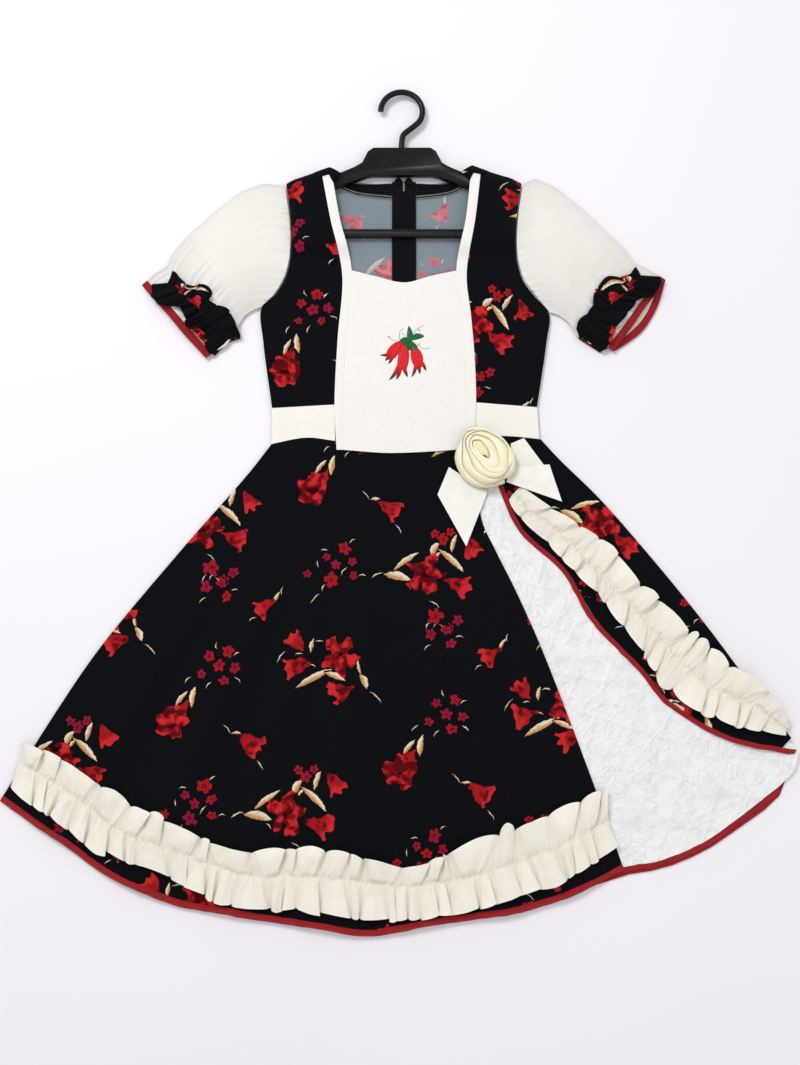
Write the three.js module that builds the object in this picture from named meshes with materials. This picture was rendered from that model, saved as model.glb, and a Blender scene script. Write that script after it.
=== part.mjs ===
// A girl's huasa dress for the cueca, laid flat on its back with a moulded hanger inside it.
// Millimetres. X runs across the dress, Y from the hem up to the hanger's hook, Z up from the surface.
// Left and right are those of somebody looking down at the dress.
import * as THREE from 'three';

// Driving sizes
const CLOTH = 1.4; // wall of the printed cotton and of the cream panels
const SEAM = 0.3; // gap between neighbouring pieces
const BINDING = 9; // width of the red bias binding
const BINDING_WALL = 2; // its turned layers
const SLEEVE_WALL = 2.4; // gathered sleeve cloth
const RUFFLE_WALL = 1.2;
const TRIM_WALL = 1.9; // straps and waistband, with their turned edges
const BIB_WALL = 1.7;
const LACE_WALL = 1.2;
const FACING_WALL = 1;
const PLACKET_WALL = 1.5;
const RIBBON_WALL = 1.1;
const ROD = 7.4; // diameter of the hook's rod
const HANGER_THICK = 8.6;

// Heights of the undersides of the layers
const ON_BACK = CLOTH + SEAM; // what lies straight on the back panels
const HANGER_BASE = 3.6;
const FRONT = 3.2; // the front panels, over the lace panel
const BODICE_RISE = HANGER_THICK + 1.1; // how far the hanger lifts the front bodice

// The skirt is a fan: its side edges meet at this point, and its folds run out from it
const FAN = { x: -4, y: 310, left: -37.5, right: 42.5 };

// Soft radial folds of the front panels: degrees from straight down, height, spread in degrees, start radius
const FOLDS = [
  { at: -31, high: 3.0, spread: 2.6, from: 330 },
  { at: -22.5, high: 4.6, spread: 2.8, from: 270 },
  { at: -14, high: 3.4, spread: 2.5, from: 340 },
  { at: -6, high: 5.2, spread: 3.0, from: 260 },
  { at: 2, high: 3.8, spread: 2.6, from: 320 },
  { at: 9, high: 4.4, spread: 2.6, from: 290 },
  { at: 15.5, high: 3.2, spread: 2.4, from: 350 },
  { at: 36, high: 3.0, spread: 2.6, from: 260 },
];
const FOLD_GROWTH = 230; // a fold reaches its height this far below its start
const SIDE_FALL = 4; // degrees over which the front comes down onto the back at its side folds

// Colours, roughness and metalness of the materials
const BLACK_PRINT = { color: 0x17171b, roughness: 0.85, metalness: 0 };
const WRONG_SIDE = { color: 0x6c7680, roughness: 0.9, metalness: 0 };
const CREAM = { color: 0xf4f0e4, roughness: 0.8, metalness: 0 };
const RUFFLE_CREAM = { color: 0xeee9da, roughness: 0.85, metalness: 0 };
const ROSE_CREAM = { color: 0xf0e8be, roughness: 0.6, metalness: 0 };
const RED = { color: 0xb4141f, roughness: 0.6, metalness: 0 };
const LACE_WHITE = { color: 0xf0f0f2, roughness: 0.7, metalness: 0 };
const FACING_BLACK = { color: 0x15151a, roughness: 0.85, metalness: 0 };
const PLASTIC = { color: 0x222326, roughness: 0.35, metalness: 0 };

const dress = new THREE.Group();

// Small helpers for numbers and curves
const lerp = (a, b, t) => a + (b - a) * t;
const mix = (p, q, t) => [lerp(p[0], q[0], t), lerp(p[1], q[1], t)];
const clamp = (t) => Math.min(1, Math.max(0, t));
const smooth = (t) => clamp(t) ** 2 * (3 - 2 * clamp(t));

function curve(points) {
  const spots = points.map(([x, y]) => new THREE.Vector3(x, y, 0));
  return new THREE.CatmullRomCurve3(spots, false, 'centripetal');
}

function on(path, t) {
  const p = path.getPointAt(clamp(t));
  return [p.x, p.y];
}

// The curve that runs beside another one, on its left for a positive distance
function beside(path, distance, steps = 30) {
  const points = [];
  for (let i = 0; i <= steps; i++) {
    const p = path.getPointAt(i / steps);
    const d = path.getTangentAt(i / steps);
    points.push([p.x - d.y * distance, p.y + d.x * distance]);
  }
  return curve(points);
}

// A patch between two curves, and one between four, that gives a point of the plan for u across and v down
const between = (first, second) => (u, v) => mix(on(first, u), on(second, u), v);

function fourSided({ top, right, bottom, left }) {
  return (u, v) => {
    const ruledDown = mix(on(top, u), on(bottom, u), v);
    const ruledAcross = mix(on(left, v), on(right, v), u);
    const corners = mix(mix(on(top, 0), on(top, 1), u), mix(on(bottom, 0), on(bottom, 1), u), v);
    return [0, 1].map((k) => ruledDown[k] + ruledAcross[k] - corners[k]);
  };
}

// One closed body from two grids of points, the outer and the inner face of a wall
function wall({ across, down, ring = false, outer, inner }) {
  const columns = ring ? across : across + 1;
  const points = [];
  for (const face of [outer, inner]) {
    for (let j = 0; j <= down; j++) {
      for (let i = 0; i < columns; i++) points.push(...face(i / across, j / down));
    }
  }
  const layer = columns * (down + 1);
  const at = (face, i, j) => face * layer + j * columns + (i % columns);
  const faces = [];
  const quad = (a, b, c, d) => faces.push(a, b, c, a, c, d);
  for (let i = 0; i < across; i++) {
    for (let j = 0; j < down; j++) {
      quad(at(0, i, j), at(0, i + 1, j), at(0, i + 1, j + 1), at(0, i, j + 1));
      quad(at(1, i, j), at(1, i, j + 1), at(1, i + 1, j + 1), at(1, i + 1, j));
    }
    quad(at(0, i, 0), at(1, i, 0), at(1, i + 1, 0), at(0, i + 1, 0));
    quad(at(0, i, down), at(0, i + 1, down), at(1, i + 1, down), at(1, i, down));
  }
  for (let j = 0; j < down && !ring; j++) {
    quad(at(0, 0, j), at(0, 0, j + 1), at(1, 0, j + 1), at(1, 0, j));
    quad(at(0, across, j), at(1, across, j), at(1, across, j + 1), at(0, across, j + 1));
  }
  return facingOut(points, faces);
}

function facingOut(points, faces) {
  const corner = (k) => new THREE.Vector3(...points.slice(3 * faces[k], 3 * faces[k] + 3));
  let volume = 0;
  for (let k = 0; k < faces.length; k += 3) volume += corner(k).dot(corner(k + 1).cross(corner(k + 2)));
  if (volume < 0) faces.reverse();
  const geometry = new THREE.BufferGeometry();
  geometry.setAttribute('position', new THREE.Float32BufferAttribute(points, 3));
  geometry.setIndex(faces);
  geometry.computeVertexNormals();
  return geometry;
}

// A cut piece of cloth that follows a height
function cloth({ plan, across, down, low, thick = CLOTH }) {
  const face = (lift) => (u, v) => {
    const [x, y] = plan(u, v);
    return [x, y, low(x, y) + lift];
  };
  return wall({ across, down, outer: face(thick), inner: face(0) });
}

function add(name, geometry, finish) {
  const mesh = new THREE.Mesh(geometry, new THREE.MeshStandardMaterial(finish));
  mesh.name = name;
  dress.add(mesh);
}

const flat = (height) => () => height;

// Height of the underside of the front skirt: down on the back panel at the side folds, over the lace between
function skirtLow(x, y) {
  const angle = THREE.MathUtils.radToDeg(Math.atan2(x - FAN.x, FAN.y - y));
  const radius = Math.hypot(x - FAN.x, y - FAN.y);
  const settle = smooth((angle - FAN.left) / SIDE_FALL) * smooth((FAN.right - angle) / SIDE_FALL);
  let height = lerp(ON_BACK, FRONT, settle);
  for (const fold of FOLDS) {
    const bell = Math.exp(-(((angle - fold.at) / fold.spread) ** 2));
    height += fold.high * bell * smooth((radius - fold.from) / FOLD_GROWTH);
  }
  return height;
}

// Height of the underside of the front bodice: it lies over the hanger and falls away round it
const HANGER_CENTRE = 2.5;
const SHOULDER = { x: 40, top: 474 }; // where the hanger's arms start to slope down
const ARM_END = { x: 130, top: 441, bottom: 366 };
const HANGER_FALL = 24; // width of the slope round the hanger

function bodiceLow(x, y) {
  const aside = Math.abs(x - HANGER_CENTRE);
  const armTop = lerp(SHOULDER.top, ARM_END.top, clamp((aside - SHOULDER.x) / (ARM_END.x - SHOULDER.x)));
  const outside = Math.hypot(
    Math.max(0, aside - ARM_END.x),
    Math.max(0, y - armTop, ARM_END.bottom - y),
  );
  return FRONT + BODICE_RISE * (1 - smooth(outside / HANGER_FALL));
}

// Skirt outlines. The hem runs from the left side fold to the slit, as the outer edge of its binding
const LEFT_SIDE = curve([[-156, 108], [-182, 73], [-259, -19], [-356, -142], [-418, -240], [-460, -313]]);
const RIGHT_SIDE = curve([
  [171, 114], [194, 88], [241, 40], [303, -35], [364, -115], [418, -192], [459, -249],
]);
const HEM = curve([
  [-462, -315], [-390, -362], [-335, -398], [-265, -428], [-190, -443], [-107, -455], [-30, -465],
  [36, -453], [141, -438], [222, -410], [257, -392],
]);
const SLIT_LEFT = curve([[92, 98], [95, 50], [100, 6], [121, -36], [160, -123], [206, -246], [254, -383]]);
const SLIT_RIGHT = curve([
  [108, 117.3], [126, 57], [147, 7], [197, -42], [237, -109], [286, -161], [318, -201], [390, -242],
  [452, -254],
]);
const UNDER_HEM = curve([[212, -402], [257, -390], [298, -383], [348, -363], [382, -341], [437, -301]]);

const WAIST = [
  [-113, 115.4], [-96, 113.2], [-85, 110.8], [-80.5, 107], [-79, 99.8], [-72, 98.5], [-12, 95.5], [66, 99],
];

function skirt() {
  const frontHem = beside(HEM, BINDING + SEAM);
  const leftEdge = curve([...LEFT_SIDE.points.slice(0, 5).map((p) => [p.x, p.y]), on(frontHem, 0)]);
  const slitEdge = curve([...SLIT_LEFT.points.slice(0, 6).map((p) => [p.x, p.y]), on(frontHem, 1)]);
  const front = fourSided({
    top: curve([on(leftEdge, 0), ...WAIST, on(slitEdge, 0)]),
    bottom: frontHem, left: leftEdge, right: slitEdge,
  });
  add('skirt_front_left', cloth({ plan: front, across: 40, down: 8, low: skirtLow }), BLACK_PRINT);
  add('hem_binding', cloth({
    plan: between(beside(HEM, BINDING), HEM), across: 40, down: 1, thick: BINDING_WALL, low: skirtLow,
  }), RED);

  const rightPanel = fourSided({
    top: curve([on(SLIT_RIGHT, 0), [135, 117.4], on(RIGHT_SIDE, 0)]),
    bottom: curve([on(SLIT_RIGHT, 1), on(RIGHT_SIDE, 1)]),
    left: SLIT_RIGHT, right: RIGHT_SIDE,
  });
  add('skirt_front_right', cloth({ plan: rightPanel, across: 6, down: 24, low: skirtLow }), BLACK_PRINT);
  add('slit_binding', cloth({
    plan: between(beside(SLIT_RIGHT, -SEAM), beside(SLIT_RIGHT, -SEAM - BINDING)), across: 24, down: 1,
    thick: BINDING_WALL, low: skirtLow,
  }), RED);
}

function skirtBack() {
  const inside = 4; // the back ends this far inside the front
  const side = beside(LEFT_SIDE, inside);
  const far = beside(RIGHT_SIDE, -inside);
  const hem = curve([
    [-452, -315], [-390, -355], [-335, -391], [-265, -421], [-190, -436], [-107, -448], [-30, -456],
    [36, -446], [141, -431], [222, -410], [259, -398], [300, -391], [350, -371], [385, -349], [441, -306],
    [454, -262],
  ]);
  const edge = beside(hem, BINDING);
  const top = curve([on(side, 0), [0, 111.5], on(far, 0)]);
  const plan = fourSided({
    top, bottom: beside(hem, BINDING + SEAM),
    left: curve([...side.points.slice(0, -2).map((p) => [p.x, p.y]), on(beside(hem, BINDING + SEAM), 0)]),
    right: curve([...far.points.slice(0, -2).map((p) => [p.x, p.y]), on(beside(hem, BINDING + SEAM), 1)]),
  });
  add('skirt_back', cloth({ plan, across: 40, down: 3, low: flat(0) }), BLACK_PRINT);
  add('skirt_back_binding', cloth({ plan: between(edge, hem), across: 40, down: 1, low: flat(0) }), RED);
}

function underskirt() {
  const hem = beside(UNDER_HEM, BINDING + SEAM);
  const left = curve([[88, 92], [84, 0], [110, -90], [150, -200], [190, -330], on(hem, 0)]);
  const right = curve([[122, 92], [170, 20], [240, -55], [330, -165], [410, -222], on(hem, 1)]);
  const plan = fourSided({ top: curve([on(left, 0), on(right, 0)]), bottom: hem, left, right });
  add('underskirt_panel', cloth({
    plan, across: 12, down: 6, low: flat(ON_BACK), thick: LACE_WALL,
  }), LACE_WHITE);
  add('underskirt_binding', cloth({
    plan: between(beside(UNDER_HEM, BINDING), UNDER_HEM), across: 12, down: 1,
    low: flat(ON_BACK), thick: LACE_WALL,
  }), RED);
}

// A double-edged ruffle, shirred along its middle, that stands off the panel in flutes. Its edges run in and
// out by a share of its half width, and its flutes lean further along the line towards the edges
const RUFFLE_GAP = 0.75; // clearance over the panel
const RUFFLE_LEAN = 0.9;
const SHIRRED = 0.12; // share of the flutes' height that is left at the shirring

function ruffle(name, { upper, shirr, lower, flutes, high, scallop, steps }) {
  const face = (lift) => (u, v) => {
    const edge = Math.abs(2 * v - 1);
    const rim = v < 0.5 ? upper : lower;
    const reach = edge * (1 + scallop * Math.sin(phase(u, flutes)));
    const [x, y] = mix(on(shirr, u), on(rim, u), reach);
    const flute = 1 + Math.sin(phase(u, flutes) + RUFFLE_LEAN * Math.sign(v - 0.5) * edge);
    const stand = high * lerp(SHIRRED, 1, edge) * flute;
    return [x, y, skirtLow(x, y) + CLOTH + RUFFLE_GAP + stand + lift];
  };
  add(name, wall({
    across: flutes * steps, down: 4, outer: face(RUFFLE_WALL), inner: face(0),
  }), RUFFLE_CREAM);
}

// Uneven flutes: the phase runs a little ahead and behind
function phase(u, flutes) {
  return 2 * Math.PI * (flutes * u + 0.16 * Math.sin(17 * u) + 0.1 * Math.sin(41 * u + 1));
}

function ruffles() {
  ruffle('ruffle_hem', {
    upper: curve([
      [-438, -244], [-389, -263], [-332, -305], [-276, -333], [-184, -370], [-123, -368], [-60, -371],
      [-1, -386], [46, -376], [99, -355], [158, -333], [207, -316], [238, -304],
    ]),
    shirr: curve([
      [-441, -271], [-383, -303], [-321, -348], [-252, -373], [-172, -398], [-122, -398], [-73, -401],
      [5, -409], [56, -404], [107, -391], [141, -381], [198, -358], [240, -336],
    ]),
    lower: curve([
      [-450, -300], [-380, -347], [-347, -370], [-286, -390], [-239, -414], [-182, -432], [-88, -440],
      [-33, -447], [14, -446], [68, -439], [111, -427], [179, -408], [246, -366],
    ]),
    flutes: 32, high: 3.0, scallop: 0.08, steps: 4,
  });
  ruffle('ruffle_slit', {
    upper: curve([
      [152, 40], [190, 20], [240, -5], [289, -64], [342, -120], [383, -165], [424, -190], [450, -228],
    ]),
    shirr: curve([
      [146, 31], [185, 3], [243, -58], [304, -125], [334, -162], [369, -187], [411, -205], [448, -234],
    ]),
    lower: curve([
      [141, 22], [174, -14], [236, -80], [279, -136], [310, -187], [345, -211], [403, -233], [446, -240],
    ]),
    flutes: 17, high: 2.8, scallop: 0.067, steps: 4,
  });
}

// Bodice outlines, from the shoulder down
const ARMHOLE = {
  left: curve([[-143, 443], [-136, 394], [-135, 358], [-140, 326], [-153, 300], [-171, 281]]),
  right: curve([[153, 445], [146, 400], [144, 355], [152, 318], [166, 297], [184, 274]]),
};
const SIDE = { left: [[-171, 281], [-168, 236], [-156, 154]], right: [[184, 274], [180, 236], [167, 155]] };
const NECK = { left: [-87, 464], right: [90, 467] }; // the shoulder ends of the neck
const WAIST_ROW = { left: 157.5, right: 160 }; // lower edge of the side panels, over the waistband
const WAISTBAND = {
  left: { top: [[-81, 157], [-156, 152.5]], bottom: [[-79, 112], [-113, 116], [-155, 108.5]] },
  right: { top: [[94.2, 159.5], [167, 153.5]], bottom: [[93, 117.5], [130, 118], [169, 114.5]] },
};
const BIB_TOP = 330;
const STRAP_OUTER = {
  left: curve([[-99, 459], [-87, 395], [-72, 325], [-77, 240], [-80, 157], [-77, 101]]),
  right: curve([[102, 461], [94, 395], [83, 325], [88, 270], [92, 213], [93, 161], [91, 103]]),
};
const STRAP_INNER = {
  left: curve([[-87, 464], [-75, 395], [-60, 330], [-66, 240], [-70, 157], [-69, 101]]),
  right: curve([[90, 467], [82, 395], [70, 331], [77, 270], [80, 213], [82, 161], [82, 103]]),
};

function bodiceFront(side, sign) {
  const waistAt = STRAP_OUTER[side].points.at(-2);
  const shoulder = on(ARMHOLE[side], 0);
  const outer = curve([
    ...ARMHOLE[side].points.map((p) => [p.x, p.y]), ...SIDE[side].slice(1),
  ]);
  const upper = STRAP_OUTER[side].points.slice(0, -2).map((p) => [p.x + sign * 2 * SEAM, p.y]);
  const inner = curve([...upper, [waistAt.x + sign * 2 * SEAM, WAIST_ROW[side]]]);
  const plan = fourSided({
    top: curve([on(inner, 0), shoulder]),
    bottom: curve([on(inner, 1), on(outer, 1)]),
    left: inner, right: outer,
  });
  add(`bodice_front_${side}`, cloth({ plan, across: 6, down: 24, low: bodiceLow }), BLACK_PRINT);
  add(`strap_${side}`, cloth({
    plan: between(STRAP_OUTER[side], STRAP_INNER[side]), across: 30, down: 1,
    low: bodiceLow, thick: TRIM_WALL,
  }), CREAM);
  add(`waistband_${side}`, cloth({
    plan: between(curve(WAISTBAND[side].top), curve(WAISTBAND[side].bottom)), across: 6, down: 1,
    low: flat(FRONT), thick: TRIM_WALL,
  }), CREAM);
}

// The stretch of a curve below a height
function below(path, height, steps = 16) {
  let from = 0;
  while (on(path, from)[1] > height) from += 0.002;
  return curve([...Array(steps + 1).keys()].map((k) => on(path, lerp(from, 1, k / steps))));
}

function bib() {
  const left = beside(below(STRAP_INNER.left, BIB_TOP), 2 * SEAM);
  const right = beside(below(STRAP_INNER.right, BIB_TOP), -2 * SEAM);
  const plan = fourSided({
    top: curve([on(left, 0), [-30, 322], [6, 314], [40, 323], on(right, 0)]),
    bottom: curve([on(left, 1), [-12, 97], [66, 101], on(right, 1)]),
    left, right,
  });
  add('bib_panel', cloth({ plan, across: 6, down: 16, low: bodiceLow, thick: BIB_WALL }), CREAM);
}

const PLACKET = { left: -10, right: 20, top: 448, bottom: 300 };
const BACK = { neck: 446, waist: 112, corner: { left: [-155, 110], right: [169, 115] } };
// Share of the way from the middle to the shoulder and height, along the back neck and the facing's edges
const BACK_NECK = [[0, BACK.neck], [0.55, 447], [0.9, 455]];
const FACING_TOP = [[0, BACK.neck], [0.6, BACK.neck], [0.96, 457]];
const FACING_EDGE = [[0, 428], [0.6, 433], [0.98, 447]];

function bodiceBack(side, sign) {
  const armhole = ARMHOLE[side].points.map((p) => [p.x, p.y]);
  const outer = curve([...armhole, ...SIDE[side].slice(1), BACK.corner[side]]);
  const middle = (PLACKET.left + PLACKET.right) / 2 + (sign * SEAM) / 2;
  const fromMiddle = (start, rows) => rows.map(([share, y]) => [lerp(start, NECK[side][0], share), y]);
  const plan = fourSided({
    top: curve([...fromMiddle(middle, BACK_NECK), NECK[side], on(outer, 0)]),
    bottom: curve([[middle, BACK.waist], on(outer, 1)]),
    left: curve([[middle, BACK.neck], [middle, BACK.waist]]),
    right: outer,
  });
  add(`bodice_back_${side}`, cloth({ plan, across: 4, down: 24, low: flat(0) }), WRONG_SIDE);

  const start = PLACKET[side] + sign * SEAM;
  add(`neck_facing_${side}`, cloth({
    plan: between(curve(fromMiddle(start, FACING_TOP)), curve(fromMiddle(start, FACING_EDGE))),
    across: 6, down: 1, low: flat(ON_BACK), thick: FACING_WALL,
  }), FACING_BLACK);
}

function zipPlacket() {
  const { left, right, top, bottom } = PLACKET;
  add('zip_placket', cloth({
    plan: between(curve([[left, top], [left, bottom]]), curve([[right, top], [right, bottom]])),
    across: 1, down: 1, low: flat(ON_BACK), thick: PLACKET_WALL,
  }), FACING_BLACK);
}

// Puff sleeve sections from the armhole to the open end: where the section's upper and lower edges lie,
// how much of the armhole's curve it follows, how high it stands, how far its underside is lifted off the
// surface by the frill below it, and how far the under layer runs on past the upper one
const SLEEVE = {
  left: [
    { top: [-143.8, 443.2], foot: [-171.8, 281.2], bow: 1, high: 6.4, lift: 0, under: 0 },
    { top: [-172, 445], foot: [-179, 280], bow: 0.75, high: 8.2, lift: 0, under: 0 },
    { top: [-200, 434], foot: [-186, 276], bow: 0.5, high: 8.6, lift: 0, under: 0 },
    { top: [-229, 410], foot: [-192, 271], bow: 0.25, high: 8.6, lift: 0, under: 0 },
    { top: [-262, 379], foot: [-196, 265], bow: 0.1, high: 8.4, lift: 0, under: 0 },
    { top: [-282, 353], foot: [-199, 258], bow: 0, high: 7.4, lift: 1.6, under: 0 },
    { top: [-290, 334], foot: [-202, 249], bow: 0, high: 6.2, lift: 1.6, under: 0 },
    { top: [-306, 324], foot: [-214, 232], bow: 0, high: 6.4, lift: 1.6, under: 0 },
    { top: [-313, 316], foot: [-231, 222], bow: 0, high: 6.2, lift: 1.6, under: 0 },
  ],
  right: [
    { top: [153.8, 445.2], foot: [184.8, 274.2], bow: 1, high: 6.4, lift: 0, under: 0 },
    { top: [172, 452], foot: [191, 274], bow: 0.75, high: 8.2, lift: 0, under: 0 },
    { top: [199, 438], foot: [197, 271], bow: 0.5, high: 8.6, lift: 0, under: 0 },
    { top: [232, 409], foot: [204, 266], bow: 0.25, high: 8.6, lift: 0, under: 0 },
    { top: [262, 378], foot: [208, 262], bow: 0.1, high: 8.4, lift: 0, under: 0 },
    { top: [281, 357], foot: [212, 255], bow: 0, high: 7.4, lift: 1.6, under: 0 },
    { top: [292, 339], foot: [217, 245], bow: 0, high: 6.2, lift: 1.6, under: 0 },
    { top: [308, 331], foot: [234, 234], bow: 0, high: 6.4, lift: 1.6, under: 0 },
    { top: [322, 322], foot: [255, 230], bow: 0, high: 6.2, lift: 1.6, under: 14 },
  ],
};
const TOP_STEPS = 12;
const UNDER_STEPS = 8;
const CAP = { gathers: 9, high: 0.9, rows: 3 }; // the gathers fade out over this many rows

// The section part of the way between two rows
function sectionAt(rows, place) {
  const k = Math.min(rows.length - 2, Math.floor(place));
  const t = place - k;
  const [a, b] = [rows[k], rows[k + 1]];
  return {
    top: mix(a.top, b.top, t), foot: mix(a.foot, b.foot, t), bow: lerp(a.bow, b.bow, t),
    high: lerp(a.high, b.high, t), lift: lerp(a.lift, b.lift, t), under: lerp(a.under, b.under, t),
  };
}

// Stations round a flattened tube: over the top from its upper edge to its lower one, then back underneath
function stations(over) {
  const list = [];
  for (let i = 0; i <= over; i++) list.push({ q: i / over, over: true });
  for (let i = 0; i <= UNDER_STEPS; i++) list.push({ q: 1 - i / UNDER_STEPS, over: false });
  return list;
}

const SLEEVE_GAP = 6 * SEAM; // room for the armhole's seam allowance
const SEAMS = { left: beside(ARMHOLE.left, -SLEEVE_GAP), right: beside(ARMHOLE.right, SLEEVE_GAP) };
const sleeveSeam = (sign) => SEAMS[sign < 0 ? 'left' : 'right'];

// Point of the plan across a section, which bows towards the body, and the way out of the sleeve
function across(section, q, sign) {
  const [x, y] = mix(section.top, section.foot, q);
  const armhole = sleeveSeam(sign);
  const straight = mix(on(armhole, 0), on(armhole, 1), q);
  const bow = [0, 1].map((k) => section.bow * (on(armhole, q)[k] - straight[k]));
  const dx = section.foot[0] - section.top[0];
  const dy = section.foot[1] - section.top[1];
  const length = Math.hypot(dx, dy);
  const out = [(sign * -dy) / length, (sign * dx) / length];
  return { x: x + bow[0], y: y + bow[1], out, length };
}

const dome = (q) => Math.sin(Math.PI * clamp(q)) ** 0.6;
const EDGE_HIGH = 2 * SLEEVE_WALL + 0.5; // height of a sleeve along its folded edges
const puffed = (section, q) => section.lift + lerp(EDGE_HIGH, section.high, dome(q));

function capGather(q, place) {
  const fade = Math.max(0, 1 - place / CAP.rows) ** 2;
  return CAP.high * Math.cos(2 * Math.PI * CAP.gathers * q) * fade * Math.sin(Math.PI * q);
}

function tube(rows, sign, cap) {
  const list = stations(TOP_STEPS);
  const point = (u, v, inset) => {
    const place = v * (rows.length - 1);
    const section = sectionAt(rows, place);
    const station = list[Math.round(u * list.length) % list.length];
    const share = inset / across(section, 0, sign).length;
    const q = lerp(share, 1 - share, station.q);
    const spot = across(section, q, sign);
    if (station.over) return [spot.x, spot.y, puffed(section, q) + (cap ? capGather(q, place) : 0) - inset];
    const reach = section.under * Math.sin(Math.PI * q);
    return [spot.x + spot.out[0] * reach, spot.y + spot.out[1] * reach, section.lift + inset];
  };
  return wall({
    across: list.length, down: rows.length - 1, ring: true,
    outer: (u, v) => point(u, v, 0), inner: (u, v) => point(u, v, SLEEVE_WALL),
  });
}

function cuffRows(rows, sign) {
  const end = rows.at(-1);
  const { out } = across(end, 0.5, sign);
  const moved = (p, d) => [p[0] + out[0] * d, p[1] + out[1] * d];
  return [SEAM, BINDING].map((d) => ({
    ...end, top: moved(end.top, d), foot: moved(end.foot, d),
  }));
}

// The frill round the sleeve at its elastic: a band with fluted edges that follows the sleeve's sections from
// one row to another. It is wider than the sleeve at the elastic, flares out at its edges, and its flutes
// twist a little from one edge to the other
const FRILL = {
  from: 5.1, to: 7.8, grow: 3.4, flare: 7, flutes: 9, high: 2.1, steps: 4, wall: 1.1, gap: 0.6, twist: 2.2,
  held: 0.1,
};

function frill(rows, sign) {
  const list = stations(FRILL.flutes * FRILL.steps);
  const point = (u, v, inset) => {
    const place = lerp(FRILL.from, FRILL.to, v);
    const section = sectionAt(rows, place);
    const station = list[Math.round(u * list.length) % list.length];
    const length = across(section, 0, sign).length;
    const loose = Math.abs(2 * v - 1);
    const spare = (FRILL.grow + FRILL.flare * loose - inset) / length;
    const q = lerp(-spare, 1 + spare, station.q);
    const spot = across(section, q, sign);
    if (!station.over) return [spot.x, spot.y, inset];
    const wave = 1 + Math.sin(phase(station.q, FRILL.flutes) + (v > 0.5 ? FRILL.twist : 0));
    const stand = FRILL.high * lerp(FRILL.held, 1, loose) * wave;
    return [spot.x, spot.y, puffed(section, clamp(q)) + FRILL.gap + FRILL.wall + stand - inset];
  };
  return wall({
    across: list.length, down: 4, ring: true,
    outer: (u, v) => point(u, v, 0), inner: (u, v) => point(u, v, FRILL.wall),
  });
}

function sleeve(side, sign) {
  const seam = sleeveSeam(sign);
  const rows = [{ ...SLEEVE[side][0], top: on(seam, 0), foot: on(seam, 1) }, ...SLEEVE[side].slice(1)];
  add(`sleeve_${side}`, tube(rows, sign, true), CREAM);
  add(`cuff_binding_${side}`, tube(cuffRows(rows, sign), sign, false), RED);
  add(`sleeve_frill_${side}`, frill(rows, sign), BLACK_PRINT);
}

// The hanger: a swivel hook, a body with two arms, and a bar that turns up into the arms
const HOOK = { x: 2, y: 541, radius: 26.5, tip: 178, turn: -35, neck: 505, foot: 490.3 };

function hangerHook() {
  const bend = 14; // steps round the hook
  const spots = [];
  for (let k = 0; k <= bend; k++) {
    const a = THREE.MathUtils.degToRad(lerp(HOOK.tip, HOOK.turn, k / bend));
    spots.push([HOOK.x + HOOK.radius * Math.cos(a), HOOK.y + HOOK.radius * Math.sin(a)]);
  }
  spots.push([HOOK.x + 11, 516.5], [HOOK.x + 2.5, 510.5], [HOOK.x, HOOK.neck], [HOOK.x, HOOK.foot]);
  const z = HANGER_BASE + HANGER_THICK / 2;
  const section = new THREE.Shape();
  section.absarc(0, 0, ROD / 2, 0, 2 * Math.PI);
  add('hanger_hook', new THREE.ExtrudeGeometry(section, {
    steps: 2 * bend, curveSegments: 4, bevelEnabled: false,
    extrudePath: new THREE.CatmullRomCurve3(spots.map(([x, y]) => new THREE.Vector3(x, y, z))),
  }), PLASTIC);
}

// A flat moulding from the right half of its outline, whose left half mirrors it
function moulding(half, thick, bevel) {
  const outline = new THREE.Shape();
  outline.moveTo(HANGER_CENTRE - half[0][0], half[0][1]);
  for (const [x, y] of half) outline.lineTo(HANGER_CENTRE + x, y);
  for (const [x, y] of half.slice(1).reverse()) outline.lineTo(HANGER_CENTRE - x, y);
  const geometry = new THREE.ExtrudeGeometry(outline, {
    depth: thick - 2 * bevel, curveSegments: 4, bevelThickness: bevel, bevelSize: bevel,
    bevelOffset: -bevel, bevelSegments: 1,
  });
  return geometry.translate(0, 0, HANGER_BASE + bevel);
}

// Rounded shoulders of the yoke, then an arm out to its end and back
const YOKE_AND_ARM = [
  [36, 490], [43, 485], [50, 470], [60, 464], [122, 436.5], [128, 430], [124, 421.5], [44, 451.5], [38, 453],
];
// The bar's outer edge and its turned-up end, then its inner edge
const BAR = [[114, 372], [122, 380], [122, 420.6], [113, 423.6], [113, 386], [109, 382]];

function hanger() {
  hangerHook();
  add('hanger_body', moulding(YOKE_AND_ARM, HANGER_THICK, 1.4), PLASTIC);
  add('hanger_bar', moulding(BAR, HANGER_THICK - 2, 1), PLASTIC);
}

// The rose: a coiled strip seen from above, as a low crown with a spiral of turned petal edges
const ROSE = { x: 103, y: 85, radius: 38, heart: 2.5, crown: 16.4, rim: 2, turns: 3.2, lip: 4.2, low: 6.9 };

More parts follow.
